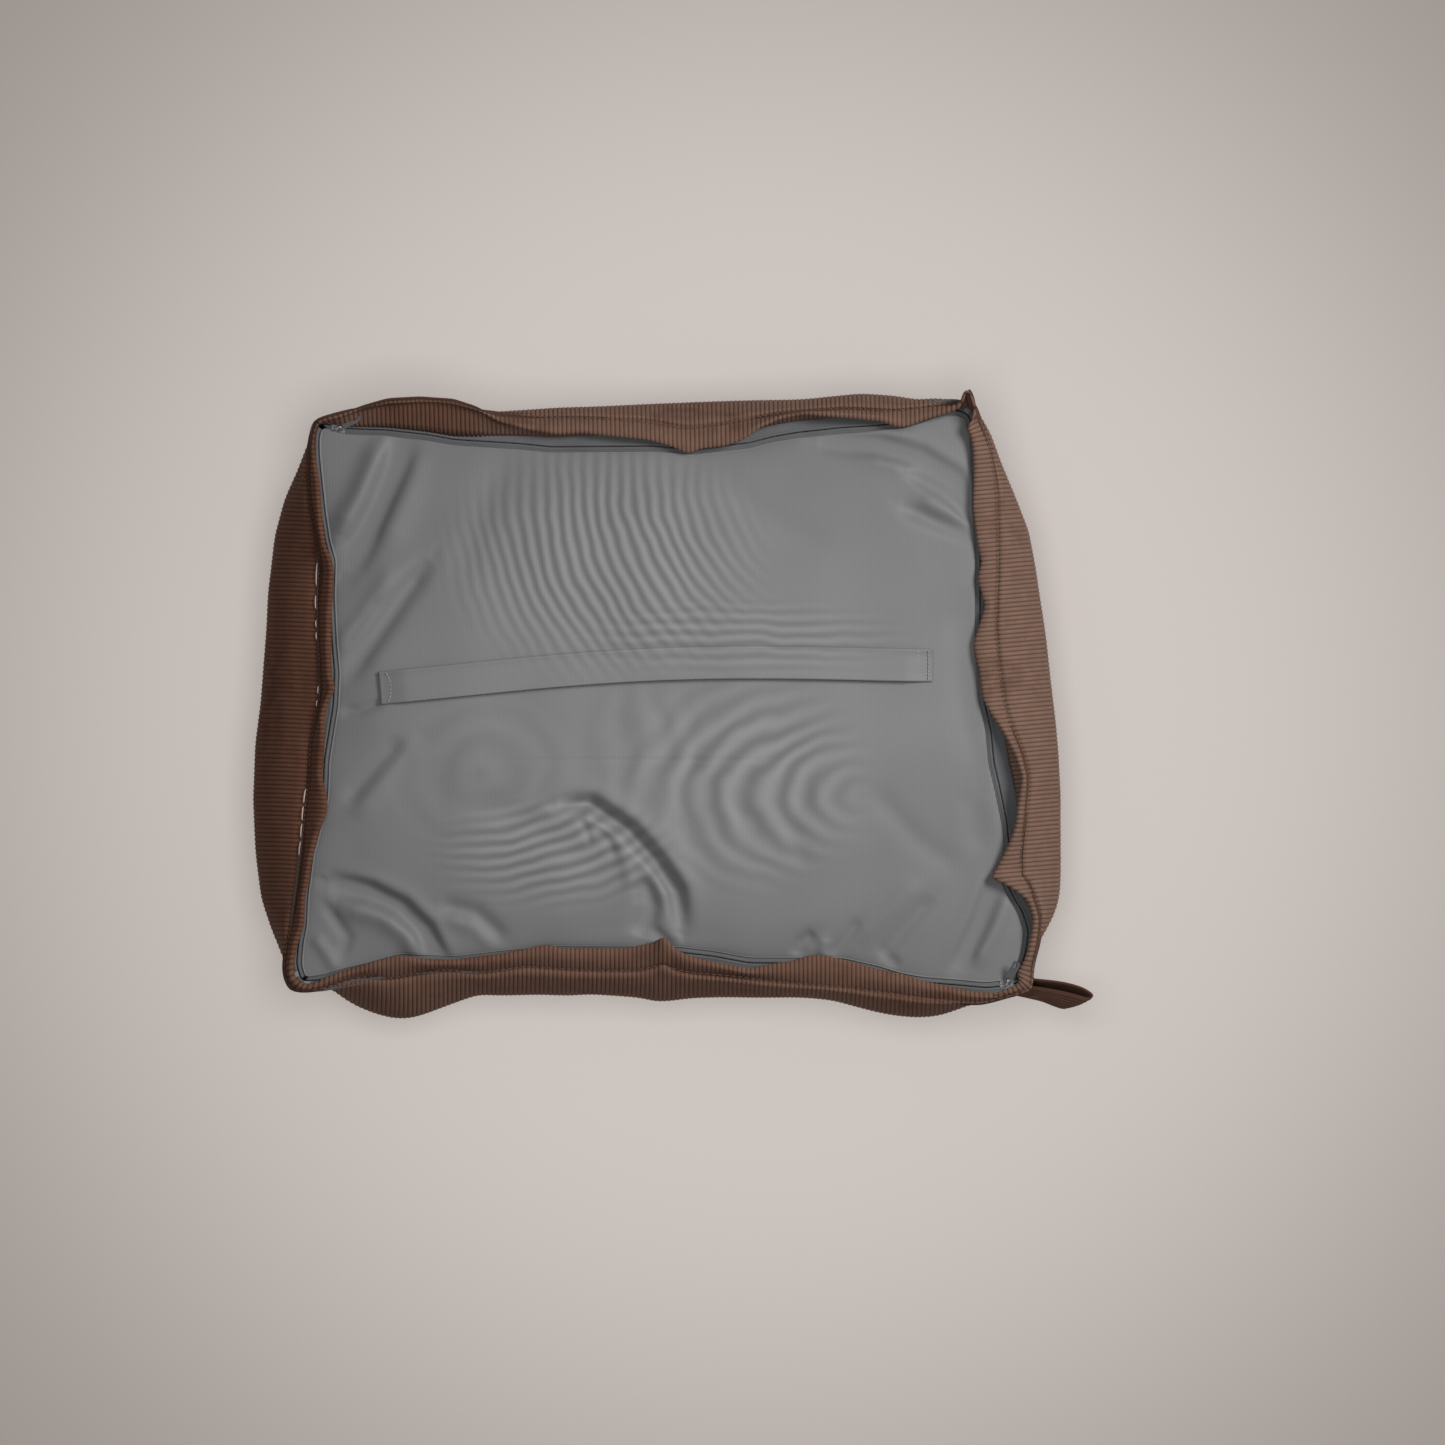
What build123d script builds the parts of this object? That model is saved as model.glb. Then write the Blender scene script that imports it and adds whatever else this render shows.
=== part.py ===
from build123d import *
import os
from math import cos, hypot, radians, sin

# Pet cushion bed, turned over on its sleeping face so that the zipped base panel is on top.
#
# A corduroy cover (a sleeping panel and four side bands) holds a stuffed inner cushion.  The base
# panel closes it with two L-shaped zips: the upper zip runs along the back and the right side, the
# lower zip along the front and the left side.  Millimetres, +X to the right, +Y to the back, +Z up,
# origin on the floor under the middle of the bed.

# ---------------------------------------------------------------- driving dimensions
BED_LENGTH = 604.0  # over the bulging left and right walls
BED_WIDTH = 464.0  # over the bulging front and back walls
SLEEP_SEAM_HEIGHT = 20.0  # seam between the sleeping panel and the side bands
BULGE_HEIGHT = 60.0  # where the walls stand out most
BASE_SEAM_HEIGHT = 112.0  # top of the walls, where the zip tapes start
PATCH_SHORTER = (104.0, 96.0)  # flat patch of the sleeping face, shorter than the bulge in X and Y
PATCH_RADIUS = 60.0
SEAM_SHORTER = (32.0, 30.0)  # outline at the sleeping seam, shorter than the bulge in X and Y
SEAM_RADIUS = 78.0
BULGE_RADIUS = 92.0
TOP_RADIUS = 26.0  # corner radius of the walls where they meet the zip
CORDUROY = 2.4
BASE_CLOTH = 1.6
LINER_CLOTH = 1.2
CLEARANCE = 0.5  # between one layer and the next

# Corners of the zip chain's centre line, in the order back left, back right, front right, front left
CHAIN_CORNERS = ((-250.0, 209.0), (236.0, 219.0), (274.0, -206.0), (-266.0, -204.0))
LIP_REACH = 14.0  # chain centre to the inner face of the lip
LIP_HEIGHT = 15.0
LIP_RADIUS = 16.0
FLAP_REACH = 6.0  # chain centre to the edge of the base panel
FLAP_RADIUS = 42.0
FLAP_RISE = 14.0  # crown of the base panel over its edge
SHOULDER_HEIGHT = 0.55 * FLAP_RISE
SHOULDER_STEP = 8.0  # how far in from the panel's edge its shoulder lies
CROWN_STEP = 25.0  # and its flat middle

TAPE_THICKNESS = 0.6
TAPE_Z = BASE_SEAM_HEIGHT + 0.4  # underside of the zip tapes
COIL_WIDTH = 2.4
COIL_HEIGHT = 1.4
CHAIN_GAP = 1.6  # between the two coils, for the slider's post
FLAP_CORNER_GAP = 30.0  # the flap's tapes stop this far from each corner
END_CORNER_GAP = 12.0  # and the closed left run's inner tape this far

SLIDER_LENGTH = 10.0
SLIDER_WIDTH = 9.0
SLIDER_PLATE = 1.2
SLIDER_ROUND = 2.0
SLIDER_PLAY = 0.4  # between the chain and either plate
POST_LENGTH, POST_WIDTH, POST_ROUND = 3.0, 1.0, 0.4
RAIL_WIDTH, RAIL_HEIGHT, RAIL_SHORTER = 0.8, 1.2, 4.0
SLIDER_A_START = 11.0  # from the back left corner, along the chain
SLIDER_B_START = 12.0  # from the front right corner, along the chain
PULL_LENGTH = 21.0
PULL_WIDTH = 5.8
PULL_THICKNESS = 1.0
PULL_ROUND = 2.0
PULL_ARM = 1.0  # width of each arm beside the eye
PULL_EYE_END = 4.4  # end of the eye, from the crossbar's centre
SLOT_LENGTH, SLOT_WIDTH, SLOT_FROM_TIP = 5.0, 1.8, 4.5
PULL_A_HEADING, PULL_A_RAISE = 26.0, 20.0  # degrees from +X in plan, and above the level
PULL_B_HEADING, PULL_B_RAISE = 67.0, 30.0

STRAP_WIDTH = 25.0
STRAP_THICKNESS = 1.5
STRAP_GAP = 5.6  # between the base panel and the strap
STRAP_START = (-208.0, 14.0)
STRAP_END = (207.0, 31.0)
STRAP_SEWN = 12.0  # length of each sewn end
STRAP_RAMP = 3 * STRAP_GAP  # length over which it rises from the panel
ROW_INSET = 4.0  # rows of stitches from the strap's end and from the sewn end's end
ROW_SHORTER = 2.0

LOOP_LENGTH = 34.0  # between the centres of the loop's two round ends
LOOP_OUTER = 9.2
LOOP_STRAP = 1.6
LOOP_HEIGHT = 25.0
LOOP_BOTTOM = 78.0
LOOP_ROOT = (291.0, -218.0)
LOOP_HEADING = -5.0
TACK_LENGTH = 1.5
TACK_INSET = 3.0  # loop's root and edges to the tack

THREAD = 0.5

# ---------------------------------------------------------------- worked out from them
BACK_LEFT, BACK_RIGHT, FRONT_RIGHT, FRONT_LEFT = CHAIN_CORNERS
RUNS = {
    "back": (BACK_LEFT, BACK_RIGHT),
    "right": (BACK_RIGHT, FRONT_RIGHT),
    "front": (FRONT_RIGHT, FRONT_LEFT),
    "left": (FRONT_LEFT, BACK_LEFT),
}
FLAP_Z = TAPE_Z + TAPE_THICKNESS
FLAP_TOP = FLAP_Z + FLAP_RISE
HALF_GAP = CHAIN_GAP / 2

os.makedirs("parts", exist_ok=True)


def finish(piece, name):
    """Label a finished piece and write it to its own file."""
    piece.part.label = name
    export_step(piece.part, f"parts/{name}.step")


def direction(start, end):
    """Unit vector from start to end, and the unit vector to its left, which points outwards."""
    length = hypot(end[0] - start[0], end[1] - start[1])
    along = ((end[0] - start[0]) / length, (end[1] - start[1]) / length)
    return along, (-along[1], along[0])


def grown(corners, amount):
    """Corners of the four-sided outline whose edges all lie the same amount further out."""
    moved = []
    for index, corner in enumerate(corners):
        before = direction(corners[index - 1], corner)[1]
        after = direction(corner, corners[(index + 1) % 4])[1]
        share = amount / (1 + before[0] * after[0] + before[1] * after[1])
        moved.append(
            (corner[0] + share * (before[0] + after[0]), corner[1] + share * (before[1] + after[1]))
        )
    return moved


def outline(corners, radius, height):
    """Four-sided outline with rounded corners, on a level plane."""
    with BuildSketch(Plane.XY.offset(height)) as shape:
        Polygon(*corners, align=None)
        fillet(shape.vertices(), radius)
    return shape.sketch


def box_corners(shorter=(0.0, 0.0)):
    """Corners of the bulge's rectangle, or a shorter one, in the order of CHAIN_CORNERS."""
    x = (BED_LENGTH - shorter[0]) / 2
    y = (BED_WIDTH - shorter[1]) / 2
    return [(-x, y), (x, y), (x, -y), (-x, -y)]


def pillow_sections(inset, bottom, top):
    """Outlines of the stuffed body from the floor to the base seam, all moved in by inset."""
    levels = (
        (bottom, box_corners(PATCH_SHORTER), PATCH_RADIUS),
        (SLEEP_SEAM_HEIGHT, box_corners(SEAM_SHORTER), SEAM_RADIUS),
        (BULGE_HEIGHT, box_corners(), BULGE_RADIUS),
        (top, grown(CHAIN_CORNERS, LIP_REACH + CORDUROY), TOP_RADIUS),
    )
    return [
        outline(grown(corners, -inset), radius - inset, height)
        for height, corners, radius in levels
    ]


def crown_sections(inset, bottom):
    """Outlines of the crowned base panel, or of what lies under it, moved in and down by inset."""
    levels = (
        (bottom, 0.0),
        (FLAP_Z + SHOULDER_HEIGHT - inset, SHOULDER_STEP),
        (FLAP_TOP - inset, CROWN_STEP),
    )
    return [
        outline(grown(CHAIN_CORNERS, -FLAP_REACH - inset - step), FLAP_RADIUS - inset - step, height)
        for height, step in levels
    ]


def on_run(side, distance, offset=0.0):
    """Point on a run of the chain, at a distance from its start and an offset outwards."""
    start, end = RUNS[side]
    along, out = direction(start, end)
    return (
        start[0] + along[0] * distance + out[0] * offset,
        start[1] + along[1] * distance + out[1] * offset,
    )


def run_length(side):
    """Length of a run of the chain."""
    start, end = RUNS[side]
    return hypot(end[0] - start[0], end[1] - start[1])


def strip(side, near, far, start_gap, end_gap):
    """Plan of a strip that follows one run between two offsets; used inside a sketch."""
    last = run_length(side) - end_gap
    Polygon(
        on_run(side, start_gap, near),
        on_run(side, start_gap, far),
        on_run(side, last, far),
        on_run(side, last, near),
        align=None,
    )


def strips(name, height, thickness, plans):
    """One piece made of strips along the runs, all at one height."""
    with BuildPart() as piece:
        with BuildSketch(Plane.XY.offset(height)):
            for plan in plans:
                strip(*plan)
        extrude(amount=thickness)
    finish(piece, name)


def wedge(start, end):
    """Plan of the share of the bed that one side band takes; its sides halve the corners."""
    points = []
    for corner, distances in ((start, (-BAND_DEPTH, BED_LENGTH)), (end, (BED_LENGTH, -BAND_DEPTH))):
        spread = (corner[0] / abs(corner[0]), corner[1] / abs(corner[1]))
        for distance in distances:
            points.append((corner[0] + spread[0] * distance, corner[1] + spread[1] * distance))
    return points


# ---------------------------------------------------------------- corduroy cover
BAND_DEPTH = BED_WIDTH / 4  # how far in the wedges reach, well past the lip

with BuildPart() as cover_shell:
    loft(sections=pillow_sections(0.0, 0.0, BASE_SEAM_HEIGHT))
    with BuildSketch(Plane.XY.offset(BASE_SEAM_HEIGHT)):
        add(outline(grown(CHAIN_CORNERS, LIP_REACH + CORDUROY), LIP_RADIUS, 0.0))
    extrude(amount=LIP_HEIGHT)
    loft(sections=pillow_sections(CORDUROY, CORDUROY, BASE_SEAM_HEIGHT), mode=Mode.SUBTRACT)
    with BuildSketch(Plane.XY.offset(BASE_SEAM_HEIGHT)):
        add(outline(grown(CHAIN_CORNERS, LIP_REACH), LIP_RADIUS - CORDUROY, 0.0))
    extrude(amount=LIP_HEIGHT, mode=Mode.SUBTRACT)

with BuildPart() as sleeping_panel:
    add(cover_shell.part)
    split(bisect_by=Plane.XY.offset(SLEEP_SEAM_HEIGHT), keep=Keep.BOTTOM)
finish(sleeping_panel, "sleeping_panel")

for side, (start, end) in RUNS.items():
    with BuildPart() as band:
        add(cover_shell.part)
        split(bisect_by=Plane.XY.offset(SLEEP_SEAM_HEIGHT), keep=Keep.TOP)
        with BuildSketch(Plane.XY):
            Polygon(*wedge(start, end), align=None)
        extrude(amount=BED_LENGTH, mode=Mode.INTERSECT)
    finish(band, f"side_band_{side}")

# ---------------------------------------------------------------- inner cushion
LINER_TOP = BASE_SEAM_HEIGHT - 4.0  # below the sliders
LINER_INSET = CORDUROY + 6 * CLEARANCE
CROWN_INSET = BASE_CLOTH + CLEARANCE
FILL_INSET = LINER_INSET + LINER_CLOTH
FILL_TOP = LINER_TOP - LINER_CLOTH

with BuildPart() as inner_fill:
    loft(sections=pillow_sections(FILL_INSET, FILL_INSET, FILL_TOP))
    loft(sections=crown_sections(CROWN_INSET + LINER_CLOTH, FILL_TOP))
finish(inner_fill, "inner_fill")

with BuildPart() as inner_liner:
    loft(sections=pillow_sections(LINER_INSET, LINER_INSET, LINER_TOP))
    loft(sections=crown_sections(CROWN_INSET, LINER_TOP))
    add(inner_fill.part, mode=Mode.SUBTRACT)
finish(inner_liner, "inner_liner")

# ---------------------------------------------------------------- base panel and its strap
with BuildPart() as base_panel:
    loft(sections=crown_sections(0.0, FLAP_Z))
    loft(sections=crown_sections(BASE_CLOTH, FLAP_Z), mode=Mode.SUBTRACT)
finish(base_panel, "base_panel")

strap_along, strap_left = direction(STRAP_START, STRAP_END)
strap_length = hypot(STRAP_END[0] - STRAP_START[0], STRAP_END[1] - STRAP_START[1])
strap_side_plane = Plane(
    origin=(
        STRAP_START[0] - strap_left[0] * STRAP_WIDTH / 2,
        STRAP_START[1] - strap_left[1] * STRAP_WIDTH / 2,
        FLAP_TOP,
    ),
    x_dir=(strap_along[0], strap_along[1], 0),
    z_dir=(-strap_left[0], -strap_left[1], 0),
)
strap_middle = STRAP_THICKNESS / 2
raised = STRAP_GAP + strap_middle
rise_start = STRAP_SEWN
rise_end = STRAP_SEWN + STRAP_RAMP
with BuildPart() as base_strap:
    with BuildSketch(strap_side_plane):
        with BuildLine():
            FilletPolyline(
                (0, strap_middle),
                (rise_start, strap_middle),
                (rise_end, raised),
                (strap_length - rise_end, raised),
                (strap_length - rise_start, strap_middle),
                (strap_length, strap_middle),
                radius=2 * STRAP_THICKNESS,
            )
            offset(amount=strap_middle, side=Side.BOTH, kind=Kind.INTERSECTION)
        make_face()
    extrude(amount=-STRAP_WIDTH)
finish(base_strap, "base_strap")

row_distances = (ROW_INSET, STRAP_SEWN - ROW_INSET)
with BuildPart() as strap_stitching:
    for distance in (*row_distances, *(strap_length - near_end for near_end in row_distances)):
        row_plane = Plane(
            origin=(
                STRAP_START[0] + strap_along[0] * distance,
                STRAP_START[1] + strap_along[1] * distance,
                FLAP_TOP + STRAP_THICKNESS,
            ),
            x_dir=(strap_along[0], strap_along[1], 0),
            z_dir=(0, 0, 1),
        )
        with BuildSketch(row_plane):
            Rectangle(THREAD, STRAP_WIDTH - ROW_SHORTER)
    extrude(amount=THREAD)
finish(strap_stitching, "strap_stitching")

# ---------------------------------------------------------------- zips
OUTER_TAPE = (HALF_GAP, LIP_REACH - 1.0)
INNER_TAPE = (-FLAP_REACH - BASE_CLOTH, -HALF_GAP)
OUTER_COIL = (HALF_GAP, HALF_GAP + COIL_WIDTH)
INNER_COIL = (-HALF_GAP - COIL_WIDTH, -HALF_GAP)
TURN = -4.0  # the two runs of an outer tape pass each other by this much at their shared corner
COIL_TURN = -2.0
COIL_GAP_FIRST, COIL_GAP_LAST = 2.0, 8.0  # the coils stop this far from the ends of their zip
TACK_OFFSET = LIP_REACH - 5.0
TACK_START, TACK_END = 1.0, 2.5

ZIPS = {"upper_zip": ("back", "right"), "lower_zip": ("front", "left")}
for zip_name, (first, second) in ZIPS.items():
    strips(
        f"{zip_name}_outer_tape",
        TAPE_Z,
        TAPE_THICKNESS,
        [(first, *OUTER_TAPE, 0.0, TURN), (second, *OUTER_TAPE, TURN, 0.0)],
    )
    strips(
        f"{zip_name}_outer_coil",
        TAPE_Z - COIL_HEIGHT,
        COIL_HEIGHT,
        [
            (first, *OUTER_COIL, COIL_GAP_FIRST, COIL_TURN),
            (second, *OUTER_COIL, COIL_TURN, COIL_GAP_LAST),
        ],
    )

flap_runs = {"upper_zip": ("back", "right"), "lower_zip": ("front",)}
gaps = (FLAP_CORNER_GAP, FLAP_CORNER_GAP)
for zip_name, sides in flap_runs.items():
    tape_plans = [(side, *INNER_TAPE, *gaps) for side in sides]
    coil_plans = [(side, *INNER_COIL, *gaps) for side in sides]
    strips(f"{zip_name}_inner_tape", TAPE_Z, TAPE_THICKNESS, tape_plans)
    strips(f"{zip_name}_inner_coil", TAPE_Z - COIL_HEIGHT, COIL_HEIGHT, coil_plans)

end_gaps = (END_CORNER_GAP, END_CORNER_GAP)
closed_tape = (-FLAP_REACH + CLEARANCE, -HALF_GAP)
strips("lower_zip_end_tape", TAPE_Z, TAPE_THICKNESS, [("left", *closed_tape, *end_gaps)])
strips(
    "lower_zip_end_coil", TAPE_Z - COIL_HEIGHT, COIL_HEIGHT, [("left", *INNER_COIL, *end_gaps)]
)

tack_plans = []
for side in ("back", "front"):
    tack_plans.append((side, HALF_GAP, TACK_OFFSET, TACK_START, run_length(side) - TACK_END))
for side in ("right", "left"):
    tack_plans.append((side, HALF_GAP, TACK_OFFSET, run_length(side) - TACK_END, TACK_START))
strips("zip_end_tacks", FLAP_Z, THREAD, tack_plans)


# ---------------------------------------------------------------- zip sliders and their pulls
UPPER_PLATE = FLAP_Z + SLIDER_PLAY
LOWER_PLATE = TAPE_Z - COIL_HEIGHT - SLIDER_PLAY - SLIDER_PLATE
BRIDGE_Z = UPPER_PLATE + SLIDER_PLATE  # top of the slider's upper plate
BRIDGE_HEIGHT = 3.4
BRIDGE_HALF = 3.0
BRIDGE_BAR = 1.0
BRIDGE_WIDTH = 1.4
BRIDGE_ROUND = 1.2
PIN_Z = BRIDGE_Z + 1.3  # centre of the pull's crossbar in the bridge's window
PIN_RADIUS = 0.6


def slider_body(name, centre, track, heading):
    """Zip slider: two plates round the chain, a post between the coils and a bridge for the pull."""
    track_plane = Plane(origin=(*centre, 0), x_dir=(*track, 0), z_dir=(0, 0, 1))
    heading_vector = (cos(radians(heading)), sin(radians(heading)), 0)
    bridge_plane = Plane(
        origin=(centre[0], centre[1], BRIDGE_Z),
        x_dir=heading_vector,
        z_dir=(heading_vector[1], -heading_vector[0], 0),
    )
    with BuildPart() as slider:
        for height in (LOWER_PLATE, UPPER_PLATE):
            with BuildSketch(track_plane.offset(height)):
                RectangleRounded(SLIDER_LENGTH, SLIDER_WIDTH, SLIDER_ROUND)
            extrude(amount=SLIDER_PLATE)
        with BuildSketch(track_plane.offset(LOWER_PLATE)):
            RectangleRounded(POST_LENGTH, POST_WIDTH, POST_ROUND)
        extrude(amount=BRIDGE_Z - LOWER_PLATE)
        with BuildSketch(track_plane.offset(LOWER_PLATE + SLIDER_PLATE)):
            for edge in (-1, 1):
                with Locations((0, edge * (SLIDER_WIDTH - RAIL_WIDTH) / 2)):
                    Rectangle(SLIDER_LENGTH - RAIL_SHORTER, RAIL_WIDTH)
        extrude(amount=RAIL_HEIGHT)
        with BuildSketch(bridge_plane) as bridge:
            with Locations((0, BRIDGE_HEIGHT / 2)):
                Rectangle(2 * BRIDGE_HALF, BRIDGE_HEIGHT)
            fillet(bridge.vertices().group_by(Axis.Y)[-1], BRIDGE_ROUND)
            with Locations((0, (BRIDGE_HEIGHT - BRIDGE_BAR) / 2)):
                Rectangle(
                    2 * (BRIDGE_HALF - BRIDGE_BAR), BRIDGE_HEIGHT - BRIDGE_BAR, mode=Mode.SUBTRACT
                )
        extrude(amount=BRIDGE_WIDTH / 2, both=True)
    finish(slider, name)


def pull_tab(name, centre, heading, rise):
    """Pull: a crossbar through the bridge, two arms round it and a flat tab with a slot."""
    level = (cos(radians(heading)), sin(radians(heading)))
    along = (level[0] * cos(radians(rise)), level[1] * cos(radians(rise)), sin(radians(rise)))
    across = (-level[1], level[0], 0)
    middle = Plane(
        origin=(centre[0], centre[1], PIN_Z),
        x_dir=along,
        z_dir=Vector(*along).cross(Vector(*across)),
    )
    with BuildPart() as pull:
        with BuildSketch(middle.offset(-PULL_THICKNESS / 2)) as plate:
            with Locations((PULL_LENGTH / 2 - PIN_RADIUS, 0)):
                Rectangle(PULL_LENGTH, PULL_WIDTH)
            fillet(plate.vertices().group_by(Axis.X)[-1], PULL_ROUND)
            with Locations(((PIN_RADIUS + PULL_EYE_END) / 2, 0)):
                Rectangle(
                    PULL_EYE_END - PIN_RADIUS, PULL_WIDTH - 2 * PULL_ARM, mode=Mode.SUBTRACT
                )
            with Locations((PULL_LENGTH - SLOT_FROM_TIP, 0)):
                SlotOverall(SLOT_LENGTH, SLOT_WIDTH, mode=Mode.SUBTRACT)
        extrude(amount=PULL_THICKNESS)
    finish(pull, name)


travel_a = direction(BACK_LEFT, BACK_RIGHT)[0]
travel_b = direction(FRONT_RIGHT, FRONT_LEFT)[0]
SLIDERS = {
    "a": (on_run("back", SLIDER_A_START), travel_a, PULL_A_HEADING, PULL_A_RAISE),
    "b": (on_run("front", SLIDER_B_START), travel_b, PULL_B_HEADING, PULL_B_RAISE),
}
for letter, (centre, track, heading, rise) in SLIDERS.items():
    slider_body(f"slider_{letter}", centre, track, heading)
    pull_tab(f"slider_{letter}_pull", centre, heading, rise)

# ---------------------------------------------------------------- thread on the cover
STITCH_Z = BASE_SEAM_HEIGHT + 1.0
BASTING_Z = STITCH_Z + 3.0
LIP_FACE = LIP_REACH + CORDUROY
strips(
    "lip_stitching",
    STITCH_Z,
    THREAD,
    [(side, LIP_FACE, LIP_FACE + THREAD, LIP_RADIUS, LIP_RADIUS) for side in RUNS],
)
left_length = run_length("left")
# Each long stitch runs between two shares of the left run's length.
BASTING = ((0.18, 0.25), (0.27, 0.34), (0.58, 0.65), (0.68, 0.74), (0.77, 0.84))
strips(
    "basting_thread",
    BASTING_Z,
    THREAD,
    [
        ("left", LIP_FACE, LIP_FACE + THREAD, left_length * low, left_length * (1 - high))
        for low, high in BASTING
    ],
)

# ---------------------------------------------------------------- corner loop
loop_plane = Plane(
    origin=(*LOOP_ROOT, LOOP_BOTTOM),
    x_dir=(cos(radians(LOOP_HEADING)), sin(radians(LOOP_HEADING)), 0),
    z_dir=(0, 0, 1),
)
with BuildPart() as corner_loop:
    with BuildSketch(loop_plane):
        with Locations((LOOP_LENGTH / 2, 0)):
            SlotCenterToCenter(LOOP_LENGTH, LOOP_OUTER)
            SlotCenterToCenter(LOOP_LENGTH, LOOP_OUTER - 2 * LOOP_STRAP, mode=Mode.SUBTRACT)
    extrude(amount=LOOP_HEIGHT)
finish(corner_loop, "corner_loop")

with BuildPart() as loop_tack:
    with BuildSketch(loop_plane.offset(TACK_INSET)):
        for face in (-1, 1):
            with Locations((TACK_INSET, face * (LOOP_OUTER + THREAD) / 2)):
                Rectangle(TACK_LENGTH, THREAD)
    extrude(amount=LOOP_HEIGHT - 2 * TACK_INSET)
finish(loop_tack, "loop_tack")
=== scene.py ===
import math
import bpy
import numpy as np
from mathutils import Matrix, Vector


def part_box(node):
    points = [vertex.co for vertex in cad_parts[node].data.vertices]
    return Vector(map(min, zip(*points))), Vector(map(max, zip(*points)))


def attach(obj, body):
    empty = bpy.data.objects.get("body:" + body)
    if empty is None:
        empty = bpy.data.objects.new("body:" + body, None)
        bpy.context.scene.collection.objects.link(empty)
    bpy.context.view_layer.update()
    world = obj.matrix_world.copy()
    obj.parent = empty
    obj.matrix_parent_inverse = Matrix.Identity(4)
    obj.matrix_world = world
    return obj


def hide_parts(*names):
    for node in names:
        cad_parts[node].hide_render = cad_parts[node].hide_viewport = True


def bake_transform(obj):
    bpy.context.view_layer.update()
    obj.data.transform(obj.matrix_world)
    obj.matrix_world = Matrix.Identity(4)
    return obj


bl_info = {
    "name": "Cushion Bed Sewing Kit",
    "version": (1, 0, 0),
    "blender": (4, 5, 0),
    "location": "3D View > Sidebar > Cushion Bed",
    "description": "Sews a zipped corduroy cushion bed, its liner, zips and strap round the packed parts",
    "category": "Object",
}

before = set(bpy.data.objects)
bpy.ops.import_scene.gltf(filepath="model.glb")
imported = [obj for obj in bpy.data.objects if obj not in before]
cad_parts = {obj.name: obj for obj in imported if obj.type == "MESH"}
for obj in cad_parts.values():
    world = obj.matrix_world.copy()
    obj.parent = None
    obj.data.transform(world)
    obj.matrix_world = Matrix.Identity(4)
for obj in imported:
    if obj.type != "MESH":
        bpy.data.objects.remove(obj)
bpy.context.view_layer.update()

# Corners of the zip chain in the order back left, back right, front right, front left, in metres.
# A station is a place round the chain: 0, 1, 2 and 3 are these corners, and 0.5 is half way along
# the back.  Offsets from the chain are in millimetres, outwards.
CHAIN = np.array(((-0.250, 0.209), (0.236, 0.219), (0.274, -0.206), (-0.266, -0.204)))
SIDES = ("back", "right", "front", "left")
WALL_SHADE = (0.35, 0.1, 0.55, 1.0)  # painted shade of each wall, back, right, front, left: how far its colour is painted darker and redder where less light falls on it
SIDE_LENGTHS = np.linalg.norm(np.roll(CHAIN, -1, axis=0) - CHAIN, axis=1)
STEPS = 4096
STATIONS = np.arange(STEPS) * 4 / STEPS

TAPE_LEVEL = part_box("upper_zip_outer_tape")[1].z
FLAP_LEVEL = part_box("base_panel")[0].z
SEAM_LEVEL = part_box("sleeping_panel")[1].z
SEAM_HALF = np.array(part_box("sleeping_panel")[1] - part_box("sleeping_panel")[0])[:2] / 2
EYE = np.array((0.049, -0.011))  # plan point that the outlines below were set out round
EYE_HEIGHT = 2.26
CORNER_POWER = 4.2  # squareness of the sleeping panel's outline
FULL_LEVEL = 0.064  # level at which the walls stand out furthest
HEM_LEVEL = FLAP_LEVEL + 0.0012  # top of the base panel at its hem
MEAN_SIDE = 0.47  # metres of chain to one station, for counting teeth and stitches
UP = (0.0, 0.0, 1.0)

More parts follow.
